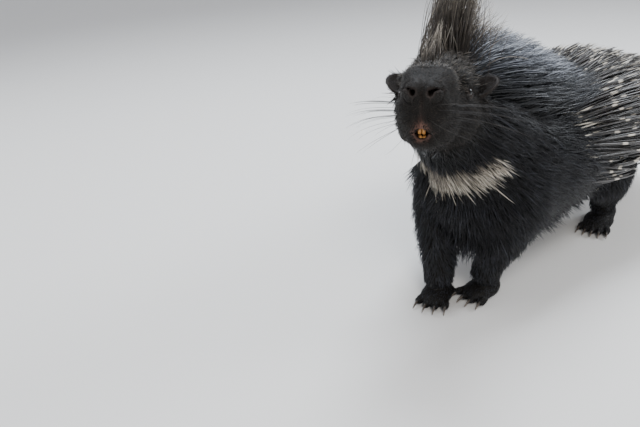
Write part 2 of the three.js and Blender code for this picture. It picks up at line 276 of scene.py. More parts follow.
# ---- the head's own frame -----------------------------------------------------------------
FORWARD = np.array(
    [
        math.sin(HEAD_YAW) * math.cos(HEAD_PITCH),
        -math.cos(HEAD_YAW) * math.cos(HEAD_PITCH),
        math.sin(HEAD_PITCH),
    ]
)
LEFT = np.array([math.cos(HEAD_YAW), math.sin(HEAD_YAW), 0])
UP = unit(np.cross(FORWARD, LEFT))
UP = UP if UP[2] > 0 else -UP
BASIS = np.stack([LEFT, -FORWARD, UP])  # rows: side, back, up
to_head = lambda p: (p - NOSE) @ BASIS.T
from_head = lambda q: NOSE + q @ BASIS

EYE_OUT = unit(np.array([0.86, -0.40, 0.22]))  # where the left eye looks, in head measures
EYE_LONG = unit(np.cross(np.cross(EYE_OUT, [0, -0.94, -0.22]), EYE_OUT))
EYE_HIGH = np.cross(EYE_LONG, EYE_OUT)
EYE_HIGH = EYE_HIGH if EYE_HIGH[2] > 0 else -EYE_HIGH


def rot_x(q, a):
    c, s = math.cos(a), math.sin(a)
    return np.stack([q[..., 0], c * q[..., 1] - s * q[..., 2], s * q[..., 1] + c * q[..., 2]], -1)


def rot_y(q, a):
    c, s = math.cos(a), math.sin(a)
    return np.stack([c * q[..., 0] + s * q[..., 2], q[..., 1], -s * q[..., 0] + c * q[..., 2]], -1)


def rot_z(q, a):
    c, s = math.cos(a), math.sin(a)
    return np.stack([c * q[..., 0] - s * q[..., 1], s * q[..., 0] + c * q[..., 1], q[..., 2]], -1)


def ear_local(q):
    """From the left side's head measures to the ear's own: x across, y through, z up the blade."""
    q = q - np.array([EAR["side"], EAR["back"], EAR["up"]], float)
    q = rot_x(rot_z(rot_y(q, -math.radians(36)), math.radians(38)), math.radians(14))
    return np.stack([q[..., 0], q[..., 1] + q[..., 0] ** 2 / EAR["cup"], q[..., 2]], -1)


SPARE = [1.4]  # the ear blades are thicker while the grid is read


def ear_field(q):
    e = ear_local(q)
    a, b = EAR["wide"] / 2 - 1.3, EAR["high"] / 2 - 1.3
    flat = ell(np.stack([e[..., 0], 0 * e[..., 0], e[..., 2]], -1), (0, 0, 0), (a, 1e3, b))
    rim = np.exp(-((flat + 1.5) ** 2) / 6)
    through = np.abs(e[..., 1]) - 0.35 - 0.55 * rim - 0.03 * np.maximum(-e[..., 2], 0)
    return np.hypot(np.maximum(flat, 0), np.maximum(through, 0)) + np.minimum(np.maximum(flat, through), 0) - 1.2 - SPARE[0]


def nostril_field(m):
    """The comma of the left nostril, as distances in the plane of the muzzle's front."""
    n = m - NOSTRIL
    pit = np.hypot(n[..., 0] / 2.9, n[..., 2] / 3.3)
    c, t = math.cos(0.62), math.sin(0.62)
    x = n[..., 0] - 3.0
    z = n[..., 2] - 2.6
    x, z = c * x + t * z, -t * x + c * z
    slit = np.hypot(x / 5.4, (z + 0.085 * x * x) / 1.5)
    return pit, slit


def head_field(q):
    m = q.copy()
    m[..., 0] = np.abs(m[..., 0])
    d = barrel(q, HEAD, HEAD_CAPS)
    d = smin(d, ell(m, (9.2, 8, 22.5), (14.5, 13.5, 14.5)), 5)  # wings of the blunt nose
    d = smin(d, ell(m, (12.5, 16, -7), (13.5, 16, 12.5)), 5)  # the split upper lip
    d = smin(d, ell(m, (0, 25, -32), (15, 18, 8)), 6)  # chin
    d = smin(d, ell(m, (21, 42, -14), (11, 26, 20)), 8)  # cheek
    d = smin(d, ell(m, (15, 34, 33), (14, 24, 15)), 9)  # swollen bridge of the nose
    d = smin(d, ell(m, (29, 73, 36), (12, 17, 8)), 7)  # brow
    d = smin(d, ell(m, (33, 84, 4), (10, 20, 9)), 8)  # cheekbone
    d = smin(d, ell(m, (30, 96, -8), (17, 26, 25)), 10)  # jaw muscle
    # groove from the nose to the mouth, mouth line, parted front of the lips
    d = smax(d, -ell(m, (0, -7.5, 2), (1.6, 9.5, 20)), 2.2)
    line = -19.5 - 0.016 * m[..., 0] ** 2 - 0.06 * m[..., 1]
    lip = np.stack([m[..., 0], m[..., 1], m[..., 2] - line], -1)
    d = smax(d, -ell(lip, (0, 14, 0), (19, 18, 0.7)), 1.6)
    d = smax(d, -ell(m, (0, 8, -22), (6.8, 12, 5.4)), 2.0)
    # nostrils: a pit and a slit that curls back over it, with a raised rim
    pit, slit = nostril_field(m)
    near = np.clip((9 - m[..., 1]) / 5, 0, 1)
    rim = np.exp(-(((np.minimum(pit, slit) - 1.7) / 0.45) ** 2))
    d = d - near * 1.1 * rim
    d = smax(d, -np.maximum((pit - 1) * 2.3, m[..., 1] - 5.5), 1.0)
    d = smax(d, -np.maximum((slit - 1) * 1.4, m[..., 1] - 5.5), 0.8)
    # the groove that bounds the wing of the nose
    wing = np.hypot((m[..., 0] - 9.0) / 12.5, (m[..., 2] - 21.5) / 12.5)
    d = d + 1.3 * np.exp(-(((wing - 1) / 0.11) ** 2)) * near * np.clip((m[..., 0] - 6) / 5, 0, 1)
    # folds of the muzzle behind the nose
    fold = m[..., 1] - 17 - 0.010 * (m[..., 2] - 16) ** 2
    d = d + 0.55 * np.exp(-((fold / 1.5) ** 2)) * np.clip((m[..., 0] - 12) / 6, 0, 1) * np.clip((m[..., 2] + 6) / 8, 0, 1)
    # eye: lids round the ball, an almond opening, a crease above and below
    e = m - EYE
    o, a, b = e @ EYE_OUT, e @ EYE_LONG, e @ EYE_HIGH
    d = smin(d, np.linalg.norm(e, axis=-1) - (EYE_R + 1.5), 4)
    rho = np.sqrt((a / 8.4) ** 2 + ((b + 0.03 * a * a) / 6.8) ** 2)
    front = np.clip(o / 4, 0, 1)
    d = d + front * (0.8 * np.exp(-(((rho - 1.5) / 0.13) ** 2)) + 0.35 * np.exp(-(((rho - 1.95) / 0.13) ** 2)) - 0.45 * np.exp(-(((rho - 1.12) / 0.16) ** 2)))
    almond = (np.sqrt((a / 7.0) ** 2 + ((b + 0.035 * a * a - 0.2) / 5.0) ** 2) - 1) * 5.0
    d = smax(d, -np.maximum(almond, 3.0 - o), 0.7)
    # ear and its root
    d = smin(d, ell(m, (47, 114, 16), (8, 9, 12), 0.5), 6)
    d = smin(d, ear_field(m), 4)
    hollow = ear_local(m) - np.array([0, -4.2, -7.0])
    d = smax(d, -ell(hollow, (0, 0, 0), (6.2, 4.6, 8.0)), 1.5)
    return d


def foot_parts(name):
    k = SOLE["fore" if name.startswith("fore") else "hind"]
    x, y = LEGS[name][-1][:2]
    turn = math.radians(TURN[name])
    toes = []
    for i in range(k["toes"]):
        f = i / (k["toes"] - 1) - 0.5
        toes.append((f * k["wide"] * 1.62, -k["reach"] + 22 * f * f, f * 0.42))
    return k, np.array([x, y, 0.0]), turn, toes


def foot_local(p, at, turn):
    q = p - at
    c, s = math.cos(turn), math.sin(turn)
    return np.stack([c * q[:, 0] + s * q[:, 1], -s * q[:, 0] + c * q[:, 1], q[:, 2]], -1)


def foot_world(q, at, turn):
    c, s = math.cos(turn), math.sin(turn)
    return np.stack([c * q[:, 0] - s * q[:, 1], s * q[:, 0] + c * q[:, 1], q[:, 2]], -1) + at


def foot_field(p, name):
    k, at, turn, toes = foot_parts(name)
    q = foot_local(p, at, turn)
    thin = 1.6
    d = ell(q, (0, k["at"], 11), (k["wide"] - thin, k["ball"] - thin, k["high"] - 2 - thin))
    d = smin(d, ell(q, (0, k["back"], 13), (k["wide"] * 0.82 - thin, k["heel"] - thin, k["high"] + 2 - thin)), 8)
    for x, y, a in toes:
        d = smin(d, ell(q, (x, y, 7.6), (5.4, k["toe"] - 0.6, 6.4), a), 2.6)
    return d


SKIN_TUBES = {
    "neck": Tube(NECK, (17, 13)),
    "tail": Tube(TAIL, (4, 4)),
    "foreleg_left": Tube(LEGS["foreleg_left"], (13, 3.5), upright=True),
    "foreleg_right": Tube(LEGS["foreleg_right"], (13, 3.5), upright=True),
    "hindleg_left": Tube(LEGS["hindleg_left"], (12, 3.5), upright=True),
    "hindleg_right": Tube(LEGS["hindleg_right"], (12, 3.5), upright=True),
}
LABELS = ["trunk", "head", "neck", "tail", *LEGS]


def parts_of(p):
    """Distances of points to each part of the body, in the order of LABELS."""
    far = 60.0
    out = [barrel(p, TRUNK, TRUNK_CAPS, bend)]
    d = np.full(len(p), far)
    q = to_head(p)
    near = (np.abs(q[:, 0]) < 95) & (q[:, 1] > -25) & (q[:, 1] < 200) & (np.abs(q[:, 2]) < 95)
    d[near] = head_field(q[near])
    out.append(d)
    for name, tube in SKIN_TUBES.items():
        d = np.full(len(p), far)
        lo, hi = tube.c.min(0) - tube.r.max() - 30, tube.c.max(0) + tube.r.max() + 30
        near = ((p > lo) & (p < hi)).all(1)
        if near.any():
            d[near] = tube(p[near])
            if name in LEGS:
                d[near] = smin(d[near], foot_field(p[near], name), 9)
        out.append(d)
    return out


def body_field(p):
    trunk, head, neck, tail, *legs = parts_of(p)
    d = smin(trunk, neck, 26)
    d = smin(d, head, 16)
    d = smin(d, tail, 14)
    for leg in legs:
        d = smin(d, leg, 16)
    return smax(d, 0.35 - p[:, 2], 1.2)


def gradient(f, p, h=0.35):
    g = np.empty_like(p)
    for i in range(3):
        step = np.zeros(3)
        step[i] = h
        g[:, i] = (f(p + step) - f(p - step)) / (2 * h)
    return g


def settle(p, times=3, most=2.0):
    """Moves points onto the body's surface."""
    for _ in range(times):
        f = body_field(p)
        g = gradient(body_field, p)
        move = -(f / np.maximum((g * g).sum(1), 0.15))[:, None] * g
        size = np.linalg.norm(move, axis=1, keepdims=True)
        p = p + move * np.minimum(1, most / np.maximum(size, 1e-9))
    return p


# ---- the skin -----------------------------------------------------------------------------
def steps(*spans):
    """Grid lines: each span is (end, spacing) after the first start."""
    at, out = spans[0], [spans[0]]
    for end, gap in spans[1:]:
        n = max(1, round((end - at) / gap))
        out += [at + (end - at) * (i + 1) / n for i in range(n)]
        at = end
    return np.array(out, float)


def surface_nets(F, gx, gy, gz):
    S = F < 0
    corners = [(i, j, k) for i in (0, 1) for j in (0, 1) for k in (0, 1)]
    nx, ny, nz = [n - 1 for n in F.shape]
    cut = lambda A, c: A[c[0] : c[0] + nx, c[1] : c[1] + ny, c[2] : c[2] + nz]
    count = sum(cut(S, c).astype(np.int8) for c in corners)
    active = (count > 0) & (count < 8)
    ids = np.full(active.shape, -1)
    ids[active] = np.arange(active.sum())
    cell = np.argwhere(active)
    G = (gx, gy, gz)
    place = lambda c: np.stack([G[a][cell[:, a] + c[a]] for a in range(3)], -1)
    total, seen = np.zeros((len(cell), 3)), np.zeros(len(cell))
    for a in corners:
        for axis in range(3):
            if a[axis]:
                continue
            b = tuple(v + (i == axis) for i, v in enumerate(a))
            fa, fb = cut(F, a)[active], cut(F, b)[active]
            m = (fa < 0) != (fb < 0)
            t = np.where(m, fa / np.where(m, fa - fb, 1), 0)[:, None]
            total += np.where(m[:, None], place(a) * (1 - t) + place(b) * t, 0)
            seen += m
    verts = total / seen[:, None]
    quads = []
    for axis in range(3):
        o1, o2 = [(1, 2), (2, 0), (0, 1)][axis]
        size = [n + 1 for n in (nx, ny, nz)]
        lo, hi = [0, 0, 0], [None, None, None]
        a = [slice(None)] * 3
        b = [slice(None)] * 3
        a[axis], b[axis] = slice(0, size[axis] - 1), slice(1, size[axis])
        for o in (o1, o2):
            a[o] = b[o] = slice(1, size[o] - 1)
        sa, sb = S[tuple(a)], S[tuple(b)]
        at = np.argwhere(sa != sb)
        inside = sa[tuple(at.T)]
        base = at.copy()
        for o in (o1, o2):
            base[:, o] += 1
        ring = []
        for d1, d2 in ((-1, -1), (0, -1), (0, 0), (-1, 0)):
            c = base.copy()
            c[:, o1] += d1
            c[:, o2] += d2
            ring.append(ids[tuple(c.T)])
        q = np.stack(ring, 1)
        q[~inside] = q[~inside][:, ::-1]
        quads.append(q)
    return verts, np.concatenate(quads)


def make_object(name, verts, faces, loose=False):
    """A mesh object from millimetre points in the modelled frame. faces is an (n, k) array."""
    me = bpy.data.meshes.new(name)
    v = (verts - CENTRE) / 1000
    me.vertices.add(len(v))
    me.vertices.foreach_set("co", v.astype(np.float32).ravel())
    n, k = faces.shape
    me.loops.add(n * k)
    me.loops.foreach_set("vertex_index", faces.astype(np.int32).ravel())
    me.polygons.add(n)
    me.polygons.foreach_set("loop_start", np.arange(0, n * k, k, dtype=np.int32))
    me.update(calc_edges=True)
    me.polygons.foreach_set("use_smooth", np.ones(n, bool))
    o = bpy.data.objects.new(name, me)
    bpy.context.scene.collection.objects.link(o)
    return o


GX = steps(-128, (-78, 4.4), (112, 2.3), (132, 4.4))
GY = steps(-384, (-232, 2.2), (-150, 3.4), (100, 5.6), (190, 4.0), (384, 5.6))
GZ = steps(-3, (48, 3.1), (282, 5.4), (386, 2.2))
grid = np.stack(np.meshgrid(GX, GY, GZ, indexing="ij"), -1).reshape(-1, 3)
field = np.concatenate([body_field(part) for part in np.array_split(grid, 12)])
SPARE[0] = 0.0
verts, quads = surface_nets(field.reshape(len(GX), len(GY), len(GZ)), GX, GY, GZ)
skin = make_object("skin", verts, quads)
bm = bmesh.new()
bm.from_mesh(skin.data)
# one body only, with finer faces round the eyes, nose and mouth
bm.verts.ensure_lookup_table()
left, biggest = set(bm.verts), []
while left:
    seed = left.pop()
    group, front = {seed}, [seed]
    while front:
        new = []
        for v in front:
            for e in v.link_edges:
                w = e.other_vert(v)
                if w not in group:
                    group.add(w)
                    new.append(w)
        front = new
    left -= group
    if len(group) > len(biggest):
        biggest = group
bmesh.ops.delete(bm, geom=[v for v in bm.verts if v not in biggest], context="VERTS")


def detail(verts_mm):
    q = to_head(verts_mm)
    q[:, 0] = np.abs(q[:, 0])
    e = np.linalg.norm(q - EYE - EYE_OUT * 6, axis=1) < 15
    n = (q[:, 1] < 16) & (q[:, 2] > -34) & (q[:, 2] < 20) & (q[:, 0] < 26)
    fine = (np.linalg.norm(q - EYE - EYE_OUT * 7, axis=1) < 11) | (n & (q[:, 1] < 13) & ((np.abs(q[:, 2] - 19) < 9) | (np.abs(q[:, 2] + 21) < 11)))
    return [e | n, fine]


for level in (0, 1):
    bm.verts.ensure_lookup_table()
    at = np.array([v.co for v in bm.verts]) * 1000 + CENTRE
    fine = detail(at)[level]
    edges = [e for e in bm.edges if fine[e.verts[0].index] and fine[e.verts[1].index]]
    bmesh.ops.subdivide_edges(bm, edges=edges, cuts=1, use_grid_fill=True)
    bm.verts.index_update()
bmesh.ops.triangulate(bm, faces=[f for f in bm.faces if len(f.verts) > 3])
bmesh.ops.recalc_face_normals(bm, faces=bm.faces)
for f in bm.faces:
    f.smooth = True
bm.to_mesh(skin.data)
bm.free()
me = skin.data
at = np.empty(len(me.vertices) * 3, np.float32)
me.vertices.foreach_get("co", at)
at = at.reshape(-1, 3).astype(float) * 1000 + CENTRE
edge = np.empty(len(me.edges) * 2, np.int32)
me.edges.foreach_get("vertices", edge)
edge = edge.reshape(-1, 2)
at = settle(at, 2)
for _ in range(3):
    total = np.zeros_like(at)
    n = np.zeros(len(at))
    for a, b in ((0, 1), (1, 0)):
        np.add.at(total, edge[:, a], at[edge[:, b]])
        np.add.at(n, edge[:, a], 1)
    at = 0.55 * at + 0.45 * total / np.maximum(n, 1)[:, None]
    at = settle(at, 1)
at[:, 2] = np.maximum(at[:, 2], 0.35)
me.vertices.foreach_set("co", ((at - CENTRE) / 1000).astype(np.float32).ravel())
me.update()
SKIN_AT = at
tri = np.empty(len(me.polygons) * 3, np.int32)
me.polygons.foreach_get("vertices", tri)
tri = tri.reshape(-1, 3)


# ---- a body-wide map for the baked look ---------------------------------------------------
def body_uv(p, label):
    """Where a point of the skin lies on a flat unwrap: trunk, neck, head and tail as one long
    strip by place along the body and angle round it, and each leg as a strip of its own."""
    uv = np.empty((len(p), 2))
    mid = np.array([[62, -362, 332], [2, -235, 292], [8, -150, 200], [5, -60, 176], [0, 60, 176], [0, 200, 176], [0, 260, 160], [0, 384, 108]], float)
    spine = Tube(np.c_[mid, np.ones(len(mid)) * 10, np.ones(len(mid)) * 10], n=40)
    t = spine.nearest(p)
    i = np.clip(t.astype(int), 0, 38)
    q = p - spine.c[i]
    a = np.arctan2((q * spine.s[i]).sum(1), -(q * spine.u[i]).sum(1) * np.sign(spine.u[i][:, 2]))
    uv[:, 0] = 0.01 + 0.98 * t / 39
    uv[:, 1] = 0.30 + 0.69 * (a / (2 * math.pi) + 0.5)
    for j, name in enumerate(LEGS):
        m = label == LABELS.index(name)
        if not m.any():
            continue
        tube = SKIN_TUBES[name]
        q = p[m]
        t = tube.nearest(q)
        i = np.clip(t.astype(int), 0, len(tube.c) - 2)
        off = q - tube.c[i]
        a = np.arctan2((off * tube.s[i]).sum(1), (off * tube.u[i]).sum(1))
        down = np.clip((190 - q[:, 2]) / 190, 0, 1)
        uv[m, 0] = 0.01 + 0.245 * j + 0.225 * (a / (2 * math.pi) + 0.5)
        uv[m, 1] = 0.01 + 0.27 * down
    return np.clip(uv, 0.004, 0.996)


label_of = lambda p: np.argmin(np.stack(parts_of(p)), 0)
SKIN_LABEL = label_of(SKIN_AT)


def put_attribute(o, name, values, kind="FLOAT", domain="POINT"):
    layer = o.data.attributes.new(name, kind, domain)
    if kind == "FLOAT":
        layer.data.foreach_set("value", np.asarray(values, np.float32).ravel())
    else:
        v = np.asarray(values, np.float32)
        layer.data.foreach_set("vector", v.ravel())


# ---- where tufts grow ---------------------------------------------------------------------
A, B, C = SKIN_AT[tri[:, 0]], SKIN_AT[tri[:, 1]], SKIN_AT[tri[:, 2]]
NORM = np.cross(B - A, C - A)
AREA = np.linalg.norm(NORM, axis=1) / 2
VN = np.zeros_like(SKIN_AT)
for i in range(3):
    np.add.at(VN, tri[:, i], NORM)
VN = unit(VN)
MIDDLE = (A + B + C) / 3
FACE_LABEL = SKIN_LABEL[tri[:, 0]]
HEADQ = to_head(MIDDLE)
EARPART = np.zeros(len(tri), bool)
_m = HEADQ.copy()
_m[:, 0] = np.abs(_m[:, 0])
_near = (FACE_LABEL == 1) & (_m[:, 1] > 90)
EARPART[_near] = ear_field(_m[_near]) < 0.6


def grow(weight, n):
    """n roots spread over the skin by weight per area: points, normals, labels and faces."""
    w = AREA * weight
    total = np.cumsum(w)
    at = (np.arange(n) + rng.random(n)) / n * total[-1]
    f = np.minimum(np.searchsorted(total, at), len(tri) - 1)
    r1, r2 = np.sqrt(rng.random(n))[:, None], rng.random(n)[:, None]
    p = A[f] * (1 - r1) + B[f] * r1 * (1 - r2) + C[f] * r1 * r2
    nrm = unit(VN[tri[f, 0]] * (1 - r1) + VN[tri[f, 1]] * r1 * (1 - r2) + VN[tri[f, 2]] * r1 * r2)
    return p, nrm, FACE_LABEL[f], f


def tangent(d, n):
    d = d - (d * n).sum(-1, keepdims=True) * n
    return unit(d)


def noise(p, scale, seed=0):
    """Soft noise between -1 and 1."""
    r = np.random.default_rng(100 + seed)
    out = np.zeros(len(p))
    for k in range(5):
        v = r.normal(size=3)
        v *= (1 + 0.6 * k) / scale / np.linalg.norm(v)
        out += np.sin(p @ v * 2 * math.pi + r.random() * 6.28) / (1 + 0.5 * k)
    return out / 2.2


def turned(d, n, angle):
    c, s = np.cos(angle)[:, None], np.sin(angle)[:, None]
    return d * c + np.cross(n, d) * s


def tufts(name, root, mid, tip, wide, thick, normal, uv, sides=3, rings=4, taper=None, across=None, chance=None):
    """Closed, tapered, curved pieces from root over mid to tip (a quadratic curve), one mesh."""
    n = len(root)
    t = np.linspace(0, 1, rings + 1)[:-1]
    t = np.r_[t[:-1], t[-1]] if rings < 3 else t
    T = t[None, :, None]
    P = root[:, None] * (1 - T) ** 2 + 2 * mid[:, None] * T * (1 - T) + tip[:, None] * T**2
    D = unit(2 * (mid - root)[:, None] * (1 - T) + 2 * (tip - mid)[:, None] * T)
    S = unit(np.cross(D, normal[:, None]))
    if across is not None:
        S = unit(across[:, None] - (across[:, None] * D).sum(-1, keepdims=True) * D)
    U = np.cross(S, D)
    shape = taper(t) if taper else 1 - 0.75 * t**1.6
    a = np.arange(sides) / sides * 2 * math.pi + math.pi / 2
    w = (wide[:, None] * shape)[:, :, None, None] / 2
    h = (thick[:, None] * shape)[:, :, None, None] / 2
    ring = (
        P[:, :, None]
        + w * np.cos(a)[None, None, :, None] * S[:, :, None]
        + h * np.sin(a)[None, None, :, None] * U[:, :, None]
    )
    k = len(t) * sides + 1
    verts = np.concatenate([ring.reshape(n, -1, 3), tip[:, None]], 1)
    quad = []
    for i in range(len(t) - 1):
        for j in range(sides):
            j2 = (j + 1) % sides
            a0, a1, b0, b1 = i * sides + j, i * sides + j2, (i + 1) * sides + j, (i + 1) * sides + j2
            quad += [(a0, a1, b1), (a0, b1, b0)]
    last = (len(t) - 1) * sides
    for j in range(sides):
        quad.append((last + j, last + (j + 1) % sides, k - 1))
    for j in range(1, sides - 1):
        quad.append((0, j + 1, j))
    quad = np.array(quad)
    faces = (quad[None] + (np.arange(n) * k)[:, None, None]).reshape(-1, 3)
    # the sections run the same way round on every piece, so one test settles the facing
    v0 = verts[0]
    vol = sum(np.dot(v0[q[0]] - v0[0], np.cross(v0[q[1]] - v0[0], v0[q[2]] - v0[0])) for q in quad)
    if vol < 0:
        faces = faces[:, ::-1]
    verts = verts.reshape(-1, 3)
    o = make_object(name, verts, faces)
    tt = np.r_[np.repeat(t, sides), 1.0]
    put_attribute(o, "along", np.tile(tt, n))
    put_attribute(o, "chance", np.repeat(rng.random(n) if chance is None else chance, k))
    put_attribute(o, "chance2", np.repeat(rng.random(n), k))
    layer = o.data.uv_layers.new(name="OFBake")
    lx = np.r_[np.tile(np.arange(sides) / sides, len(t)), 0.5]
    pu = np.repeat(uv[:, 0], k) + (np.tile(lx, n) - 0.5) * 0.003
    pv = np.repeat(uv[:, 1], k) + (np.tile(tt, n) - 0.5) * 0.003
    pv, pu = np.clip(pv, 0.001, 0.999), np.clip(pu, 0.001, 0.999)
    loops = faces.ravel()
    layer.data.foreach_set("uv", np.stack([pu[loops], pv[loops]], -1).astype(np.float32).ravel())
    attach(o, "root")
    return o


def lie(root, n, way, long, lift, droop=0.35, spread=0.16, lock=26, seed=0):
    """Mid and tip of a tuft that lies along the coat and bends down to it."""
    d = tangent(way, n)
    d = turned(d, n, rng.normal(0, spread, len(root)) + 0.28 * noise(root, lock, seed))
    lift = np.asarray(lift) * (1 + 0.25 * noise(root, lock * 0.8, seed + 7)) + rng.normal(0, 0.05, len(root))
    c, s = np.cos(lift)[:, None], np.sin(lift)[:, None]
    L = np.asarray(long)[:, None] if np.ndim(long) else long
    mid = root + 0.5 * L * (d * c + n * s)
    tip = root + L * (d * (c + droop * 0.3) + n * s * (1 - droop))
    return mid, tip, d


# ---- materials ----------------------------------------------------------------------------
def material(name, rough=0.5, sheen=0.0, coat=0.0, specular=0.5):
    m = bpy.data.materials.new(name)
    m.use_nodes = True
    nt = m.node_tree
    b = nt.nodes["Principled BSDF"]
    b.inputs["Roughness"].default_value = rough
    b.inputs["Specular IOR Level"].default_value = specular
    if sheen:
        b.inputs["Sheen Weight"].default_value = sheen
    if coat:
        b.inputs["Coat Weight"].default_value = coat
        b.inputs["Coat Roughness"].default_value = 0.05
    return m, nt, b


def attribute(nt, name):
    a = nt.nodes.new("ShaderNodeAttribute")
    a.attribute_name = name
    return a


def ramp(nt, source, stops, kind="LINEAR"):
    r = nt.nodes.new("ShaderNodeValToRGB")
    r.color_ramp.interpolation = kind
    els = r.color_ramp.elements
    while len(els) < len(stops):
        els.new(0.5)
    for e, (pos, col) in zip(els, stops):
        e.position = pos
        e.color = (*col, 1)
    nt.links.new(source, r.inputs["Fac"])
    return r.outputs["Color"]


def mix(nt, fac, a, b, blend="MIX"):
    m = nt.nodes.new("ShaderNodeMix")
    m.data_type = "RGBA"
    m.blend_type = blend
    for value, socket in ((fac, m.inputs[0]), (a, m.inputs[6]), (b, m.inputs[7])):
        if isinstance(value, (int, float)):
            socket.default_value = value
        elif isinstance(value, tuple):
            socket.default_value = (*value, 1)
        else:
            nt.links.new(value, socket)
    return m.outputs[2]


def maths(nt, op, a, b=None):
    m = nt.nodes.new("ShaderNodeMath")
    m.operation = op
    for value, socket in ((a, m.inputs[0]), (b, m.inputs[1])):
        if value is None:
            continue
        if isinstance(value, (int, float)):
            socket.default_value = value
        else:
            nt.links.new(value, socket)
    return m.outputs[0]


def hair_material(name, dark, light, rough=0.42, odd=0.3, specular=0.5):
    """Hairs that run from a dark root colour to a lighter tip, lighter on some."""
    m, nt, b = material(name, rough, specular=specular)
    along, chance, other = (attribute(nt, k).outputs["Fac"] for k in ("along", "chance", "chance2"))
    one = ramp(nt, along, dark)
    two = ramp(nt, along, light)
    pick = ramp(nt, chance, [(0, (0, 0, 0)), (1 - odd - 0.1, (0, 0, 0)), (min(1, 1 - odd + 0.1), (1, 1, 1))])
    colour = mix(nt, pick, one, two)
    vary = ramp(nt, other, [(0, (0.55, 0.55, 0.55)), (1, (1.35, 1.35, 1.35))])
    nt.links.new(mix(nt, 1.0, colour, vary, "MULTIPLY"), b.inputs["Base Color"])
    return m


# black coat: the pale bluish tips of some bristles are partly their own paler tips and partly a painted blue-grey sheen
black = hair_material(
    "black_bristle",
    [(0, (0.005, 0.005, 0.005)), (0.5, (0.008, 0.008, 0.009)), (1, (0.016, 0.016, 0.019))],
    [(0, (0.008, 0.008, 0.008)), (0.45, (0.018, 0.019, 0.023)), (1, (0.07, 0.075, 0.09))],
    rough=0.36,
    odd=0.16,
    specular=0.3,
)
# mane bristles: the first ramp is their black colour, the second is a painted blue-white sheen of the light from above
mane_hair = hair_material(
    "mane_bristle",
    [(0, (0.005, 0.005, 0.005)), (0.5, (0.011, 0.012, 0.0145)), (1, (0.032, 0.036, 0.046))],
    [(0, (0.009, 0.009, 0.01)), (0.35, (0.045, 0.049, 0.06)), (0.75, (0.27, 0.288, 0.33)), (1, (0.52, 0.55, 0.605))],
    rough=0.3,
    odd=0.36,
)
face_hair = hair_material(
    "face_hair",
    [(0, (0.006, 0.005, 0.0042)), (1, (0.0135, 0.011, 0.009))],
    [(0, (0.011, 0.009, 0.0075)), (1, (0.045, 0.036, 0.029))],
    rough=0.55,
    odd=0.22,
    specular=0.22,
)
crown_hair = hair_material(
    "crown_bristle",
    [(0, (0.009, 0.0075, 0.006)), (0.6, (0.022, 0.018, 0.014)), (1, (0.06, 0.05, 0.04))],
    [(0, (0.015, 0.0125, 0.0105)), (0.5, (0.06, 0.05, 0.04)), (1, (0.22, 0.19, 0.155))],
    rough=0.45,
    odd=0.3,
    specular=0.35,
)
# leg hair: the pale bluish tips of some hairs are partly their own paler tips and partly a painted blue-grey sheen
leg_hair = hair_material(
    "leg_hair",
    [(0, (0.005, 0.005, 0.005)), (1, (0.012, 0.0125, 0.0145))],
    [(0, (0.01, 0.01, 0.011)), (1, (0.055, 0.06, 0.075))],
    rough=0.45,
    odd=0.26,
    specular=0.4,
)
crest_hair = hair_material(
    "crest_bristle",
    [(0, (0.012, 0.0095, 0.0075)), (0.5, (0.035, 0.028, 0.022)), (0.85, (0.10, 0.083, 0.066)), (1, (0.2, 0.17, 0.14))],
    [(0, (0.02, 0.016, 0.013)), (0.4, (0.09, 0.074, 0.058)), (0.75, (0.3, 0.26, 0.21)), (1, (0.66, 0.6, 0.5))],
    rough=0.45,
    odd=0.36,
    specular=0.35,
)
collar_hair = hair_material(
    "collar_bristle",
    [(0, (0.02, 0.016, 0.013)), (0.25, (0.06, 0.049, 0.039)), (0.5, (0.27, 0.235, 0.19)), (0.8, (0.6, 0.55, 0.46)), (1, (0.78, 0.735, 0.64))],
    [(0, (0.02, 0.016, 0.013)), (0.45, (0.12, 0.1, 0.08)), (1, (0.45, 0.39, 0.31))],
    rough=0.45,
    odd=0.25,
)


def quill_material(name, bands, rough=0.3):
    m, nt, b = material(name, rough, specular=0.55)
    along, chance, other = (attribute(nt, k).outputs["Fac"] for k in ("along", "chance", "chance2"))
    moved = maths(nt, "ADD", along, maths(nt, "MULTIPLY", maths(nt, "SUBTRACT", chance, 0.5), 0.16))
    colour = ramp(nt, moved, bands)
    vary = ramp(nt, other, [(0, (0.72, 0.70, 0.68)), (1, (1.1, 1.1, 1.1))])
    nt.links.new(mix(nt, 1.0, colour, vary, "MULTIPLY"), b.inputs["Base Color"])
    return m


CREAM, HORN = (0.6, 0.555, 0.47), (0.018, 0.014, 0.012)
quill_skin = quill_material(
    "banded_quill",
    [
        (0.0, CREAM),
        (0.10, CREAM),
        (0.13, HORN),
        (0.53, HORN),
        (0.55, CREAM),
        (0.60, CREAM),
        (0.62, HORN),
        (0.92, HORN),
        (0.95, CREAM),
        (1.0, (0.8, 0.76, 0.68)),
    ],
)
long_skin = quill_material(
    "pale_quill",
    [(0.0, CREAM), (0.12, CREAM), (0.16, HORN), (0.82, HORN), (0.86, CREAM), (1.0, (0.82, 0.78, 0.7))],
)
rattle_skin = quill_material(
    "rattle_quill", [(0.0, (0.3, 0.24, 0.17)), (0.3, (0.62, 0.56, 0.45)), (1.0, (0.84, 0.8, 0.71))], 0.35
)


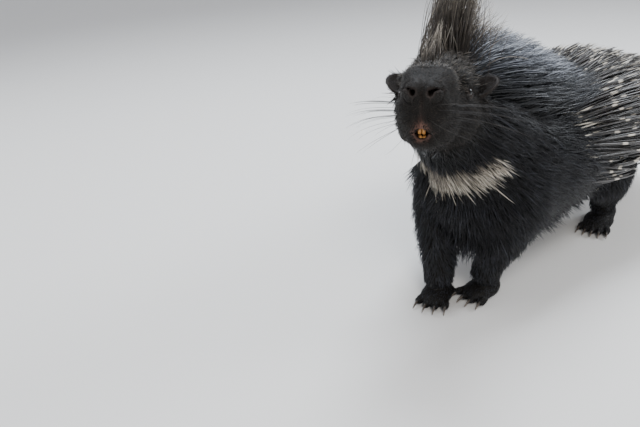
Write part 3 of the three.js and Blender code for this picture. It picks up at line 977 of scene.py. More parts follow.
def skin_material():
    m, nt, b = material("skin", 0.62, specular=0.16)
    pink = attribute(nt, "pink").outputs["Fac"]
    bare = attribute(nt, "bare").outputs["Fac"]
    dark = attribute(nt, "dark").outputs["Fac"]
    tc = nt.nodes.new("ShaderNodeTexCoord")
    n1 = nt.nodes.new("ShaderNodeTexNoise")
    n1.inputs["Scale"].default_value = 90
    n1.inputs["Detail"].default_value = 5
    nt.links.new(tc.outputs["Object"], n1.inputs["Vector"])
    base = ramp(nt, n1.outputs["Fac"], [(0.3, (0.005, 0.0042, 0.0036)), (0.7, (0.011, 0.0092, 0.0078))])
    bare_c = ramp(nt, n1.outputs["Fac"], [(0.3, (0.018, 0.0135, 0.012)), (0.7, (0.042, 0.032, 0.028))])
    pink_c = ramp(nt, n1.outputs["Fac"], [(0.3, (0.10, 0.05, 0.038)), (0.7, (0.21, 0.112, 0.085))])
    c = mix(nt, bare, base, bare_c)
    c = mix(nt, pink, c, pink_c)
    # painted shade: near-black inside the nostrils and the parted mouth
    c = mix(nt, dark, c, (0.01, 0.006, 0.005))
    nt.links.new(c, b.inputs["Base Color"])
    n2 = nt.nodes.new("ShaderNodeTexNoise")
    n2.inputs["Scale"].default_value = 900
    n2.inputs["Detail"].default_value = 4
    nt.links.new(tc.outputs["Object"], n2.inputs["Vector"])
    bump = nt.nodes.new("ShaderNodeBump")
    bump.inputs["Strength"].default_value = 0.35
    bump.inputs["Distance"].default_value = 0.0006
    nt.links.new(n2.outputs["Fac"], bump.inputs["Height"])
    nt.links.new(bump.outputs["Normal"], b.inputs["Normal"])
    return m


# skin masks: pink lips, bare skin on nose, lids and ears, and painted shade inside the nostrils and the parted mouth
q = to_head(SKIN_AT)
q[:, 0] = np.abs(q[:, 0])
soft = lambda x: 1 / (1 + np.exp(-np.clip(x, -60, 60)))
lip_wave = 1 + 0.10 * noise(SKIN_AT, 7, 30)
mouth = np.sqrt((q[:, 0] / (9.5 - 0.22 * np.clip(q[:, 2] + 16, 0, 30))) ** 2 + ((q[:, 1] - 8) / 15) ** 2 + ((q[:, 2] + 22) / np.where(q[:, 2] > -22, 14.0, 7.6)) ** 2) * lip_wave
head_part = SKIN_LABEL == 1
pink = head_part * soft((0.98 - mouth) * 6)
# painted shade: the inner face of the parted lips and the inside of the nostril pits turn near-black
inner = ell(q, (0, 8, -22), (6.8, 12, 5.4))
dark = head_part * soft(-(np.abs(inner) - 1.2) * 2.0) * (q[:, 1] > 4.5)
pit, slit = nostril_field(q)
hole = np.minimum(pit, slit)
dark = np.maximum(dark, head_part * soft((1.05 - hole) * 8) * (q[:, 1] < 9))
eyed = np.linalg.norm(q - EYE, axis=1)
lids = head_part * soft((11.2 - eyed) * 2.2)
cleft = soft((2.0 - q[:, 0]) * 3) * (q[:, 1] < 8) * (q[:, 2] < 22) * (q[:, 2] > -22)
nose_bare = head_part * np.maximum(soft((1.75 - hole) * 6) * (q[:, 1] < 9), 0.6 * cleft)
ears = np.zeros(len(q))
far_back = head_part & (q[:, 1] > 90)
ears[far_back] = soft((1.2 - ear_field(q[far_back])) * 2.5)
bare = np.clip(0.8 * lids + 0.9 * nose_bare + 0.55 * ears, 0, 1)
soles = soft((2.0 - SKIN_AT[:, 2]) * 2)
bare = np.maximum(bare, soles)
put_attribute(skin, "pink", pink)
put_attribute(skin, "dark", dark)
put_attribute(skin, "bare", bare)
skin.data.materials.append(skin_material())
uv_all = body_uv(SKIN_AT, SKIN_LABEL)
layer = skin.data.uv_layers.new(name="OFBake")
face_uv = uv_all[tri]
for a in range(2):  # a face across the seam keeps to one side of it
    span = face_uv[:, :, a].max(1) - face_uv[:, :, a].min(1)
    m = span > 0.12
    face_uv[m, 1, a] = face_uv[m, 0, a]
    face_uv[m, 2, a] = face_uv[m, 0, a]
layer.data.foreach_set("uv", face_uv.astype(np.float32).ravel())
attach(skin, "root")
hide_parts("forebody", "hindbody", "neck", "head", "tail", "ear_left", "ear_right", *LEGS, *[n.replace("leg", "foot") for n in LEGS])

# ---- the coat -----------------------------------------------------------------------------
count = lambda n: int(n * (1))
x, y, z = MIDDLE.T
trunkish = (FACE_LABEL == 0) | (FACE_LABEL == 2)
on_head = (FACE_LABEL == 1) & ~EARPART
hq = HEADQ
hx = np.abs(hq[:, 0])
face_n = unit(NORM)
legs_l = np.isin(FACE_LABEL, [LABELS.index(n) for n in LEGS])
footy = legs_l & (z < 33)
eye_gap = np.linalg.norm(_m - EYE, axis=1)
lip_gap = np.sqrt((hx / 8.6) ** 2 + ((hq[:, 1] - 8) / 13) ** 2 + ((hq[:, 2] + 22) / 7.0) ** 2)
nose_gap = np.where(hq[:, 1] < 9, np.minimum(*nostril_field(_m)), 9.0)
nose_gap = np.where((hx < 1.7) & (hq[:, 1] < 8) & (hq[:, 2] < 16) & (hq[:, 2] > -22), 0, nose_gap)
head_back = hq[:, 1]


def hang(p, n, label):
    """The way the coat lies at each root."""
    d = np.tile([0.0, 1.0, 0.0], (len(p), 1))
    side = np.abs(n[:, 0])
    d[:, 2] = -0.35 * side - 0.2
    front = np.clip((-150 - p[:, 1]) / 70, 0, 1) * (label == 0)
    d[:, 2] -= 1.2 * front
    neck = label == 2
    d[neck] = np.array([0.1, 0.75, -0.65])
    head = label == 1
    qh = to_head(p[head])
    flow = np.stack([np.sign(qh[:, 0]) * 0.12, np.ones(len(qh)), -0.12 - 0.25 * (qh[:, 2] < 10)], -1)
    d[head] = flow @ BASIS
    leg = np.isin(label, [LABELS.index(k) for k in LEGS])
    d[leg] = np.array([0.0, 0.3, -1.0])
    low = leg & (p[:, 2] < 30)
    d[low] = np.array([0.0, -1.0, -0.15])
    tail = label == 3
    d[tail] = np.array([0, 1, -0.45])
    return d


def coat_piece(name, weight, n, long, lift, wide, thick, mat, sides=3, rings=4, droop=0.35, spread=0.16, lock=26, seed=0, floor=True):
    p, nrm, lab, f = grow(weight, count(n))
    L = long(p, nrm) * (0.75 + 0.5 * rng.random(len(p)))
    mid, tip, d = lie(p, nrm, hang(p, nrm, lab), L, np.full(len(p), lift), droop, spread, lock, seed)
    if floor:
        low = tip[:, 2] < 1.5
        tip[low, 2] = 1.5
        mid[:, 2] = np.maximum(mid[:, 2], 1.5)
    w = wide * (0.8 + 0.4 * rng.random(len(p)))
    o = tufts(name, p - nrm * 0.8, mid, tip, w, w * thick, nrm, body_uv(p, lab), sides, rings)
    o.data.materials.append(mat)
    return o


# short hair of the face, smallest on the muzzle
muzzle = np.clip((44 - head_back) / 40, 0, 1)
w_face = on_head * (head_back < 128) * (eye_gap > 11.0) * (lip_gap > 1.0) * (nose_gap > 1.6) * (1 + 3.2 * muzzle + 2.5 * (eye_gap < 24))


def crown_long(p, n):
    q = to_head(p)
    return np.interp(q[:, 1], [28, 48, 75, 105, 145], [6, 13, 23, 38, 54]) * np.clip(1.15 - np.abs(q[:, 0]) / 50, 0.3, 1)


def face_long(p, n):
    q = to_head(p)
    s = np.clip(q[:, 1], 0, 130)
    e = np.linalg.norm(np.stack([np.abs(q[:, 0]), q[:, 1], q[:, 2]], -1) - EYE, axis=1)
    return np.interp(s, [0, 20, 45, 80, 110, 130], [2.6, 4.2, 7, 12, 20, 30]) * np.clip((e - 4) / 16, 0.35, 1)


coat_piece("fur_face", w_face, 10900, face_long, 0.30, 1.05, 0.5, face_hair, rings=3, lock=12, seed=1)

# longer bristles on the crown, up to the crest
w_crown = on_head * (hq[:, 2] > 24) * (head_back > 28) * (head_back < 150) * (eye_gap > 17) * np.exp(-((hx / 34) ** 2))
coat_piece("fur_crown", w_crown, 2600, crown_long, 0.78, 0.9, 0.6, crown_hair, rings=4, droop=0.35, spread=0.34, lock=14, seed=12)

# neck and chest
w_neck = ((FACE_LABEL == 2) | ((FACE_LABEL == 0) & (y < -150)) | (on_head & (head_back > 112))).astype(float)
coat_piece("fur_chest", w_neck, 7600, lambda p, n: np.full(len(p), 34.0), 0.30, 1.7, 0.6, black, rings=4, lock=30, seed=2)
# the brisket's longer hair, hanging between the forelegs
w_brisket = (FACE_LABEL == 0) * (z < 122) * (face_n[:, 2] < 0.1) * np.clip((160 - y) / 250, 0.25, 1) * (y < 100)
coat_piece("fur_brisket", w_brisket, 2400, lambda p, n: np.interp(p[:, 1], [-130, -60, 100], [36, 28, 23]), 0.85, 1.6, 0.6, black, rings=4, droop=0.0, spread=0.3, lock=24, seed=13)
# flanks, back and belly
w_fore = (FACE_LABEL == 0) * (y >= -175) * (y < 0) * (z > 110)
coat_piece("fur_shoulder", w_fore, 6000, lambda p, n: np.full(len(p), 46.0), 0.24, 1.7, 0.6, black, rings=4, lock=34, seed=3)
w_hind = (FACE_LABEL == 0) * (y >= -10) * (z > 105) + (FACE_LABEL == 3)
coat_piece("fur_hind", w_hind, 4200, lambda p, n: np.full(len(p), 36.0), 0.2, 2.1, 0.6, black, rings=3, lock=34, seed=4)
w_belly = (FACE_LABEL == 0) * (z <= 112)
coat_piece("fur_belly", w_belly, 4200, lambda p, n: np.full(len(p), 25.0), 0.5, 1.7, 0.6, black, rings=3, droop=0.1, spread=0.3, lock=20, seed=5)


def leg_long(p, n):
    return np.interp(p[:, 2], [0, 20, 34, 60, 100, 150], [3.5, 5.5, 9, 14, 24, 32])


for part, sign in (("fore", -1), ("hind", 1)):
    w_leg = legs_l * (z > 26) * (sign * y > 0)
    coat_piece("fur_legs_" + part, w_leg, 4800, leg_long, 0.26, 1.5, 0.6, leg_hair, rings=3, lock=18, seed=6 + sign)
w_foot = legs_l * (z <= 30) * (z > 1.6) * (face_n[:, 2] > -0.5)
coat_piece("fur_feet", w_foot, 5000, leg_long, 0.27, 1.1, 0.5, leg_hair, rings=3, lock=9, seed=7)
w_ear = EARPART.astype(float)
coat_piece("fur_ears", w_ear, 1500, lambda p, n: np.full(len(p), 3.4), 0.4, 0.5, 0.6, face_hair, rings=3, lock=9, seed=8, floor=False)


# ---- bristles and quills that reach for the outline -----------------------------------------
def section(rows):
    """Mantle or mane section as a function of the place along the body: x, z, half width, half height."""
    r = np.array(rows, float)
    if r.shape[1] == 4:
        f = smooth(rows)
        return lambda s: (0 * s, (f(s)[..., 1] + f(s)[..., 2]) / 2, f(s)[..., 0], (f(s)[..., 1] - f(s)[..., 2]) / 2)
    f = smooth(np.c_[r[:, 1], r[:, 0], r[:, 2], r[:, 3], r[:, 4]])
    return lambda s: tuple(f(s)[..., i] for i in range(4))


mantle_at, mane_at = section(MANTLE), section(MANE)


def sweep(p, back, share, at, pull=0.0):
    """A tip on the outline, that far back along the body from a root."""
    xc, zc, w, h = at(p[:, 1])
    phi = np.arctan2((p[:, 2] - zc) / h, (p[:, 0] - xc) / w)
    phi = phi + rng.normal(0, 0.07, len(p)) - pull * np.cos(phi) * np.sign(1)
    yt = p[:, 1] + back
    xt, zt, wt, ht = at(yt)
    return np.stack([xt + wt * share * np.cos(phi), yt, zt + ht * share * np.sin(phi)], -1)


def long_tufts(name, p, nrm, lab, tip, arch, wide, thick, mat, sides, rings, taper=None):
    L = np.linalg.norm(tip - p, axis=1)[:, None]
    mid = p + 0.45 * (tip - p) + nrm * arch * L
    o = tufts(name, p - nrm * 1.5, mid, tip, wide, wide * thick, nrm, body_uv(p, lab), sides, rings, taper)
    o.data.materials.append(mat)
    return o


# mane: black bristles that rise from the shoulders and bend back, with a painted blue-grey sheen on the top ones
n = count(5200)
yt = -214 + 268 * rng.random(n) ** 1.08
yt += np.where(rng.random(n) < 0.35, 15 * rng.random(n), 0)
phi = math.pi / 2 + (rng.random(n) - 0.5) * (math.pi + 0.55) * (0.62 + 0.44 * rng.random(n))
back = 36 + 84 * rng.random(n) ** 1.1
yr = yt - back
early = yr < -234
yr[early] = -234 + 22 * rng.random(early.sum())
back = yt - yr
share = 0.66 + 0.39 * rng.random(n) ** 0.5


def on_outline(y, phi, share, at):
    xc, zc, w, h = at(y)
    return np.stack([xc + w * share * np.cos(phi), y, zc + h * share * np.sin(phi)], -1)


lo = np.stack([bend(yr), yr, np.interp(yr, [-235, -165, -120, 0], [282, 236, 207, 182])], -1)
hi = on_outline(yr, phi, np.ones(n), mane_at)
open_air = body_field(hi) > 1
lo, hi, yt, yr, phi, back, share = (v[open_air] for v in (lo, hi, yt, yr, phi, back, share))
for _ in range(16):
    m = (lo + hi) / 2
    inside = body_field(m) < 0
    lo[inside], hi[~inside] = m[inside], m[~inside]
p = (lo + hi) / 2 + rng.normal(0, 1.2, (len(lo), 3)) * [1, 1, 0]
nrm = unit(gradient(body_field, p))
tip = on_outline(yt, phi + rng.normal(0, 0.05, len(p)), share, mane_at)
mid = on_outline(yr + 0.34 * back, phi, np.clip(share * 1.02, 0, 1), mane_at)
mid = 0.6 * mid + 0.4 * (p + 0.5 * (tip - p) + nrm * 0.2 * np.linalg.norm(tip - p, axis=1)[:, None])
lab = label_of(p)
wide = 1.5 + 0.6 * rng.random(len(p))
# tone picks the bristles that take the painted sheen: random, lighter on the top, fading to black down the sides where
# the light does not fall, and darker towards the mane's rear end
tone = 0.56 + 0.5 * noise(tip, 17, 21) + rng.normal(0, 0.26, len(p))
tone = np.clip(tone + 0.12 - 0.7 * np.clip((np.abs(phi - math.pi / 2) - 0.85) / 0.6, 0, 1) - 0.75 * np.clip((yt + 30) / 75, 0, 1), 0, 1)
o = tufts("mane_bristles", p - nrm * 1.5, mid, tip, wide, wide * 0.65, nrm, body_uv(p, lab), 3, 6, lambda t: 1 - 0.68 * t**2.2, chance=tone)
o.data.materials.append(mane_hair)
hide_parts("mane")

# crest: a loose fan of grey-brown bristles in locks, short on the brow and long at the nape
f = smooth(np.c_[np.arange(len(CREST)) / (len(CREST) - 1), np.array(CREST, float)])
locks = 190
lock_t = rng.random(locks) ** 0.9 * 0.66
lock_u = rng.normal(0, 0.52, locks).clip(-1.15, 1.15)
lock_on = np.clip(lock_t * 1.42 + 0.03 + 0.14 * rng.random(locks), 0, 1)
lock_share = 0.6 + 0.42 * rng.random(locks) ** 0.8
lock_sway = rng.normal(0, 0.13, (locks, 3))
lock_tone = rng.random(locks)
n = count(960)
k = rng.integers(0, locks, n)
t0 = np.clip(lock_t[k] + rng.normal(0, 0.03, n), 0, 0.68)
c0 = f(t0)
c1 = f(np.clip(lock_on[k] + rng.normal(0, 0.02, n), 0, 1))
ahead = unit(f(np.clip(t0 + 0.02, 0, 1))[:, :3] - f(np.clip(t0 - 0.02, 0, 1))[:, :3])
side = unit(np.stack([-ahead[:, 1], ahead[:, 0], 0 * t0], -1))
u = lock_u[k] + rng.normal(0, 0.09, n)
base = c0[:, :3] + side * ((lock_u[k] + rng.normal(0, 0.3, n)) * (4 + c0[:, 3] * 0.75))[:, None]
lo, hi = base.copy(), base.copy()
lo[:, 2], hi[:, 2] = base[:, 2] - 150, base[:, 2] + 10
for _ in range(18):
    m = (lo + hi) / 2
    inside = body_field(m) < 0
    lo[inside], hi[~inside] = m[inside], m[~inside]
root = (lo + hi) / 2
nrm = unit(gradient(body_field, root))
stray = 1 + 0.35 * (rng.random(n) < 0.05)
u = u * stray
share = lock_share[k] * np.where(rng.random(n) < 0.42, 0.88 + 0.12 * rng.random(n), 0.3 + 0.55 * rng.random(n))
a = u * np.where(u < 0, 0.66, 0.95)
tip = c1[:, :3] + side * (c1[:, 3] * 1.08 * np.sin(a) * share)[:, None]
tip[:, 2] += c1[:, 4] * np.cos(a) * share - (1 - share) * 12
short = np.linalg.norm(tip - root, axis=1) < 14
tip[short] = root[short] + nrm[short] * 14
L = np.linalg.norm(tip - root, axis=1)[:, None]
rise = np.stack([0 * t0, -0.30 + 0 * t0, 1 + 0 * t0], -1) + 0.35 * nrm
mid = root + 0.5 * L * unit(0.45 * (tip - root) / L + 0.62 * unit(rise) + lock_sway[k] + rng.normal(0, 0.035, (n, 3)))
lab = np.where(t0 < 0.5, 1, 2)
tone = np.clip(lock_tone[k] + rng.normal(0, 0.12, n), 0, 1)
o = tufts("crest_bristles", root - nrm, mid, tip, 0.85 + 0.4 * rng.random(n), 0.75 + 0.3 * rng.random(n), side, body_uv(root, lab), 3, 8, lambda t: 1 - 0.8 * t**1.3, chance=tone)
o.data.materials.append(crest_hair)
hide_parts("crest")

# bristles of the nape, leaning back between the crest and the mane
n = count(420)
root = np.stack([rng.normal(0, 17, n), -236 + 40 * rng.random(n), np.full(n, 300.0)], -1)
lo, hi = root.copy(), root.copy()
lo[:, 2], hi[:, 2] = 250, 420
for _ in range(16):
    m = (lo + hi) / 2
    inside = body_field(m) < 0
    lo[inside], hi[~inside] = m[inside], m[~inside]
root = (lo + hi) / 2
nrm = unit(gradient(body_field, root))
over = rng.random(n)
tip = np.stack([root[:, 0] * 1.5 + rng.normal(0, 5, n), -182 + 56 * over, 448 - 58 * over - 0.5 * np.abs(root[:, 0]) - 38 * rng.random(n)], -1)
L = np.linalg.norm(tip - root, axis=1)[:, None]
mid = root + 0.5 * L * unit(0.6 * (tip - root) / L + np.array([0, -0.1, 0.6]) + rng.normal(0, 0.06, (n, 3)))
o = tufts("nape_bristles", root - nrm, mid, tip, 0.9 + 0.4 * rng.random(n), 0.8 + 0.3 * rng.random(n), nrm, body_uv(root, np.full(n, 2)), 3, 6, lambda t: 1 - 0.75 * t**1.5)
o.data.materials.append(crest_hair)

# collar: stiff pale bristles in a U under the throat
THROAT = np.array([(-74, -206, 272), (-66, -217, 244), (-53, -229, 221), (-34, -240, 211), (-15, -246, 209), (8, -247, 212), (34, -248, 218), (54, -244, 227), (69, -237, 238)], float)
gap = np.full(len(tri), 1e9)
for a, b in zip(THROAT[:-1], THROAT[1:]):
    t = np.clip(((MIDDLE - a) @ (b - a)) / ((b - a) @ (b - a)), 0, 1)
    gap = np.minimum(gap, np.linalg.norm((MIDDLE - a - t[:, None] * (b - a)) * [1, 0.45, 1], axis=1))
w_collar = trunkish * (gap < 11) * np.clip(1.4 - gap / 11, 0, 1)
p, nrm, lab, f = grow(w_collar.astype(float), count(680))
out = (p[:, 0] + 12) / 70
way = np.stack([1.0 * out, 0.1 + 0 * out, -1 + 0.12 * np.abs(out)], -1)
L = (37 + 12 * (1 - np.abs(out)).clip(0, 1)) * (0.5 + 0.66 * rng.random(len(p)))
L *= np.where(rng.random(len(p)) < 0.04 + 0.1 * (np.abs(out + 0.1) < 0.22), 1.6, 1)
mid, tip, d = lie(p, nrm, way, L, np.full(len(p), 0.48), 0.2, 0.15, 34, 9)
wide = 1.2 + 0.45 * rng.random(len(p))
o = tufts("collar_bristles", p - nrm, mid, tip, wide, wide * 0.8, nrm, body_uv(p, lab), 4, 5, lambda t: 1 - 0.78 * t**1.4)
o.data.materials.append(collar_hair)

# quill mantle: stout banded quills over the rump, longer pale ones among them
thin_ends = lambda t: np.interp(t, [0, 0.06, 0.3, 0.75, 0.93, 1], [0.42, 0.8, 1.0, 0.9, 0.5, 0.3])
for side_name, sign in (("left", 1), ("right", -1)):
    w_q = (FACE_LABEL == 0) * (y > -60) * (y < 262) * (z > 128 - 0.1 * y) * (sign * x > -2)
    p, nrm, lab, f = grow(w_q * (0.6 + 0.8 * np.clip((y + 60) / 200, 0, 1)), count(1000))
    room = np.clip(414 - p[:, 1], 40, 400)
    back = np.minimum(95 + 120 * rng.random(len(p)), room * (0.86 + 0.14 * rng.random(len(p))))
    share = 0.62 + 0.385 * rng.random(len(p)) ** 0.6
    tip = sweep(p, back, share, mantle_at)
    tip[:, 0] = np.where(sign * tip[:, 0] < 1, sign * (1 + 4 * rng.random(len(p))), tip[:, 0])
    wide = 3.0 + 1.8 * rng.random(len(p))
    o = long_tufts(f"quills_{side_name}_banded", p, nrm, lab, tip, 0.07, wide, 1.0, quill_skin, 6, 8, thin_ends)
    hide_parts(f"quills_{side_name}")
    p, nrm, lab, f = grow(w_q * np.clip((160 - y) / 120, 0, 1) * (z > 190), count(300))
    back = 170 + 110 * rng.random(len(p))
    back = np.minimum(back, (412 - p[:, 1]))
    tip = sweep(p, back, 0.86 + 0.14 * rng.random(len(p)), mantle_at)
    o = long_tufts(f"quills_{side_name}_long", p, nrm, lab, tip, 0.09, 2.0 + 0.8 * rng.random(len(p)), 1.0, long_skin, 5, 10)

# the tail's hollow quills: narrow stalks that open into pale tubes
rt = Tube(RATTLE, (0, 0), n=12)
n = 72
ang = rng.random(n) * 2 * math.pi
spread = np.sqrt(rng.random(n))
g = rng.random(n)
root = np.stack([8 * np.cos(ang) * spread, 348 + 14 * g, 116 - 6 * g + 7 * np.sin(ang) * spread], -1)
tip = np.stack([27 * np.cos(ang) * spread, 384 + 30 * rng.random(n), 99 - 8 * g + 23 * np.sin(ang) * spread], -1)
tube_shape = lambda t: np.interp(t, [0, 0.3, 0.42, 1], [0.22, 0.25, 1.0, 0.95])
mid = (root + tip) / 2
nrm = np.tile([0.0, 0.3, 1.0], (n, 1))
wide = 4.6 + 1.6 * rng.random(n)
o = tufts("rattle_quills", root, mid, tip, wide, wide, nrm, body_uv(root, np.full(n, 3)), 8, 12, tube_shape)
o.data.materials.append(rattle_skin)
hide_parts("tail_rattle")

# whiskers
whisker = hair_material("whisker", [(0, (0.01, 0.009, 0.009)), (1, (0.02, 0.018, 0.018))], [(0, (0.015, 0.013, 0.012)), (1, (0.06, 0.054, 0.048))], 0.5, specular=0.3)
roots, tips, mids, nrms = [], [], [], []
for s in (1, -1):
    for i in range(26):
        row, col = divmod(i, 7)
        qh = np.array([[s * (15 + 2.2 * col), 12 + 4.5 * col + rng.normal(0, 1), 8 - 6.5 * row + rng.normal(0, 1)]])
        pw = settle(from_head(qh), 8, 6)
        nw = unit(gradient(body_field, pw))
        away = (np.array([[s * 0.75, 0.9, -0.25 + 0.12 * (2 - row)]]) @ BASIS)
        L = 62 + 7 * col + 14 * rng.random()
        roots.append(pw - nw)
        mids.append(pw + 0.5 * L * unit(nw * 0.9 + 0.7 * unit(away)))
        tips.append(pw + L * unit(nw * 0.35 + unit(away) + np.array([[0, 0, -0.1]])))
        nrms.append(nw)
roots, mids, tips, nrms = (np.concatenate(v) for v in (roots, mids, tips, nrms))
o = tufts("whiskers", roots, mids, tips, np.full(len(roots), 0.5), np.full(len(roots), 0.5), nrms, body_uv(roots, np.full(len(roots), 1)), 4, 10, lambda t: 1 - 0.85 * t)
o.data.materials.append(whisker)

# short quills that close the rump under the mantle, round the root of the tail
w_rump = (FACE_LABEL == 0) * (MIDDLE[:, 1] > 195) * (MIDDLE[:, 2] > 92) * (face_n[:, 1] > 0.15)
p, nrm, lab, f = grow(w_rump.astype(float), count(400))
L = 68 + 50 * rng.random(len(p))
mid, tip, d = lie(p, nrm, np.stack([p[:, 0] / 170, 1 + 0 * L, -0.22 + 0 * L], -1), L, np.full(len(p), 0.6), 0.25, 0.12, 34, 31)
wide = 2.8 + 1.4 * rng.random(len(p))
o = tufts("quills_rump", p - nrm * 1.5, mid, tip, wide, wide, nrm, body_uv(p, lab), 5, 5, thin_ends)
o.data.materials.append(quill_skin)


# ---- eyes, teeth, claws --------------------------------------------------------------------
def ball(name, centre, r, axis, squash=1.0, seg=40, rings=28):
    bm = bmesh.new()
    bmesh.ops.create_uvsphere(bm, u_segments=seg, v_segments=rings, radius=r)
    me = bpy.data.meshes.new(name)
    turn = Vector(axis).to_track_quat("Z", "Y").to_matrix().to_4x4()
    bm.transform(Matrix.Translation(Vector(centre)) @ turn)
    for f in bm.faces:
        f.smooth = True
    bm.to_mesh(me)
    bm.free()
    v = np.empty(len(me.vertices) * 3, np.float32)
    me.vertices.foreach_get("co", v)
    me.vertices.foreach_set("co", ((v.reshape(-1, 3) - CENTRE) / 1000).astype(np.float32).ravel())
    me.update()
    o = bpy.data.objects.new(name, me)
    bpy.context.scene.collection.objects.link(o)
    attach(o, "root")
    return o


eye_mat, nt, b = material("eye", 0.05, specular=0.38)
ring = attribute(nt, "iris").outputs["Fac"]
nt.links.new(ramp(nt, ring, [(0, (0.002, 0.002, 0.002)), (0.42, (0.002, 0.002, 0.002)), (0.5, (0.022, 0.011, 0.006)), (0.8, (0.012, 0.007, 0.0045)), (0.9, (0.006, 0.004, 0.003))]), b.inputs["Base Color"])
for name, s in (("eye_left", 1), ("eye_right", -1)):
    flip = np.array([s, 1, 1.0])
    c = from_head((EYE * flip)[None])[0]
    ax = (EYE_OUT * flip) @ BASIS
    o = ball(name + "_ball", c, EYE_R, ax)
    v = np.empty(len(o.data.vertices) * 3, np.float32)
    o.data.vertices.foreach_get("co", v)
    v = v.reshape(-1, 3) * 1000 + CENTRE - c
    off = np.arccos(np.clip(v @ ax / np.linalg.norm(v, axis=1), -1, 1))
    put_attribute(o, "iris", np.clip(off / 0.95, 0, 1))
    bulge = 0.7 * np.exp(-((off / 0.5) ** 2))
    v = v * (1 + bulge / EYE_R)[:, None] * 0.985
    o.data.vertices.foreach_set("co", ((v + c - CENTRE) / 1000).astype(np.float32).ravel())
    o.data.update()
    o.data.materials.append(eye_mat)
    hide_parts(name)

tooth_mat, nt, b = material("tooth", 0.22, specular=0.5)
tc = nt.nodes.new("ShaderNodeTexCoord")
nz = nt.nodes.new("ShaderNodeTexNoise")
nz.inputs["Scale"].default_value = 260
nt.links.new(tc.outputs["Object"], nz.inputs["Vector"])
nt.links.new(ramp(nt, nz.outputs["Fac"], [(0.3, (0.36, 0.14, 0.035)), (0.7, (0.6, 0.31, 0.1))]), b.inputs["Base Color"])


def tooth_pair(name, upper):
    bm = bmesh.new()
    long, tilt, back, up = (10, 10, 9.5, -18) if upper else (8.5, -14, 13.5, -27.6)
    for s in (1, -1):
        made = bmesh.ops.create_cube(bm, size=1)["verts"]
        for v in made:
            end = (v.co.z < 0) == upper
            narrow = 0.84 if end else 1.0
            v.co = Vector((s * 2.35 + v.co.x * 4.3 * narrow, v.co.y * (1.7 if end else 3.6), v.co.z * long))
    bmesh.ops.bevel(bm, geom=bm.edges[:] + bm.verts[:], offset=0.7, segments=3, affect="EDGES")
    turn = Matrix.Rotation(math.radians(tilt), 4, "X")
    rows = Matrix(((*BASIS[:, 0],), (*BASIS[:, 1],), (*BASIS[:, 2],))).to_4x4()
    bm.transform(Matrix.Translation(Vector(NOSE)) @ rows @ Matrix.Translation(Vector((0, back, up))) @ turn)
    bm.transform(Matrix.Scale(0.001, 4) @ Matrix.Translation(-Vector(CENTRE)))
    for f in bm.faces:
        f.smooth = True
    bmesh.ops.recalc_face_normals(bm, faces=bm.faces)
    me = bpy.data.meshes.new(name)
    bm.to_mesh(me)
    bm.free()
    o = bpy.data.objects.new(name + "_pair", me)
    bpy.context.scene.collection.objects.link(o)
    o.data.materials.append(tooth_mat)
    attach(o, "root")
    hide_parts(name)


tooth_pair("incisors_upper", True)
tooth_pair("incisors_lower", False)

claw_mat, nt, b = material("claw", 0.32, specular=0.5)
nt.links.new(ramp(nt, attribute(nt, "along").outputs["Fac"], [(0, (0.03, 0.024, 0.02)), (0.6, (0.07, 0.055, 0.042)), (1, (0.2, 0.165, 0.125))]), b.inputs["Base Color"])
roots, mids, tips, ups = [], [], [], []
for name in LEGS:
    k, at, turn, toes = foot_parts(name)
    for tx, ty, ta in toes:
        c, s = math.cos(ta), math.sin(ta)
        ahead = np.array([s, -c, 0])
        start = np.array([tx, ty, 8.6]) + ahead * (k["toe"] * 0.62)
        end = start + ahead * (CLAW["long"] * 0.98) - np.array([0, 0, 6.6])
        middle = (start + end) / 2 + np.array([0, 0, 3.4])
        for lst, v in ((roots, start), (mids, middle), (tips, end)):
            lst.append(foot_world(v[None], at, turn))
        ups.append(np.array([[0, 0, 1.0]]))
roots, mids, tips, ups = (np.concatenate(v) for v in (roots, mids, tips, ups))
tips[:, 2] = np.maximum(tips[:, 2], 1.0)
n = len(roots)
o = tufts("claws", roots, mids, tips, np.full(n, 4.2), np.full(n, 5.6), ups, body_uv(roots, np.full(n, 4)), 10, 8, lambda t: (1 - t) ** 0.55 * 0.9 + 0.1)
o.data.materials.append(claw_mat)

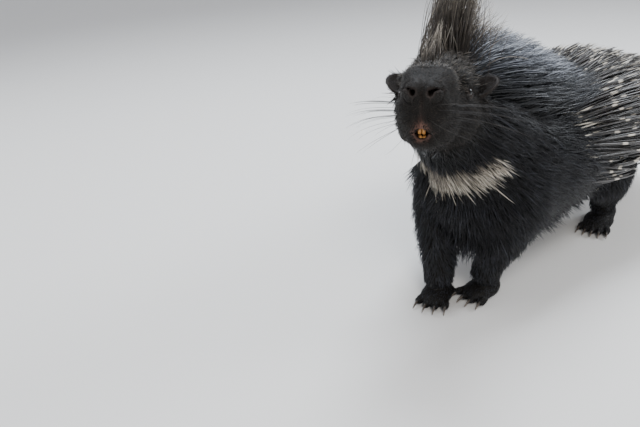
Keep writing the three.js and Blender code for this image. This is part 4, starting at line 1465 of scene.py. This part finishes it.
# ---- floor, light, camera ------------------------------------------------------------------
# a pale floor that turns up far away, so that no horizon shows
turns = 96
profile = [(0.0, 0.0), (1.2, 0.0), (3.4, 0.0)] + [
    (3.4 + 3.2 * math.sin(a), 3.2 - 3.2 * math.cos(a)) for a in np.linspace(0.08, 1.45, 16)
]
ring = np.arange(turns) / turns * 2 * math.pi
vert = [(0.0, 0.0, 0.0)] + [(r * math.cos(a), r * math.sin(a), h) for r, h in profile[1:] for a in ring]
face = [(0, 1 + i, 1 + (i + 1) % turns) for i in range(turns)]
for k in range(len(profile) - 2):
    for i in range(turns):
        j, a0, b0 = (i + 1) % turns, 1 + k * turns, 1 + (k + 1) * turns
        face.append((a0 + i, b0 + i, b0 + j, a0 + j))
floor_mesh = bpy.data.meshes.new("floor")
floor_mesh.from_pydata(vert, [], face)
floor_mesh.polygons.foreach_set("use_smooth", [True] * len(face))
floor = bpy.data.objects.new("floor", floor_mesh)
bpy.context.scene.collection.objects.link(floor)
fm, nt, b = material("floor", 0.8, specular=0.2)
b.inputs["Base Color"].default_value = (0.76, 0.74, 0.71, 1)
floor.data.materials.append(fm)

world = bpy.data.worlds.new("studio")
bpy.context.scene.world = world
world.use_nodes = True
world.node_tree.nodes["Background"].inputs[0].default_value = (0.86, 0.9, 1.0, 1)
world.node_tree.nodes["Background"].inputs[1].default_value = 0.62


def area(name, at, aim, size, power, colour=(1, 1, 1)):
    light = bpy.data.lights.new(name, "AREA")
    light.shape = "DISK"
    light.size = size
    light.energy = power
    light.color = colour
    o = bpy.data.objects.new(name, light)
    o.location = at
    o.rotation_mode = "QUATERNION"
    o.rotation_quaternion = (Vector(aim) - Vector(at)).to_track_quat("-Z", "Y")
    bpy.context.scene.collection.objects.link(o)


area("key", (1.5, -1.5, 2.2), (0, -0.1, 0.2), 1.0, 38, (1, 0.97, 0.92))
area("top", (-0.5, 0.5, 2.4), (0, 0, 0.25), 1.3, 84, (0.85, 0.92, 1))
area("fill", (-1.8, -1.4, 1.2), (0, -0.1, 0.25), 1.6, 15, (0.92, 0.96, 1))
area("rim", (1.2, 1.8, 1.5), (0, 0.1, 0.25), 0.9, 34, (0.9, 0.95, 1))

cam = bpy.data.objects.new("camera", bpy.data.cameras.new("camera"))
cam.data.sensor_width = 36
cam.data.lens = 35.2125
cam.data.clip_start, cam.data.clip_end = 0.02, 60
right = Vector((0.6961, 0.7152, -0.0665)).normalized()
back = Vector((0.6641, -0.6057, 0.4381)).normalized()
up = back.cross(right).normalized()
right = up.cross(back).normalized()
m = Matrix((right, up, back)).transposed().to_4x4()
m.translation = Vector((0.45984, -0.88107 - CENTRE[1] / 1000, 0.5361))
cam.matrix_world = m
bpy.context.scene.collection.objects.link(cam)
bpy.context.scene.camera = cam
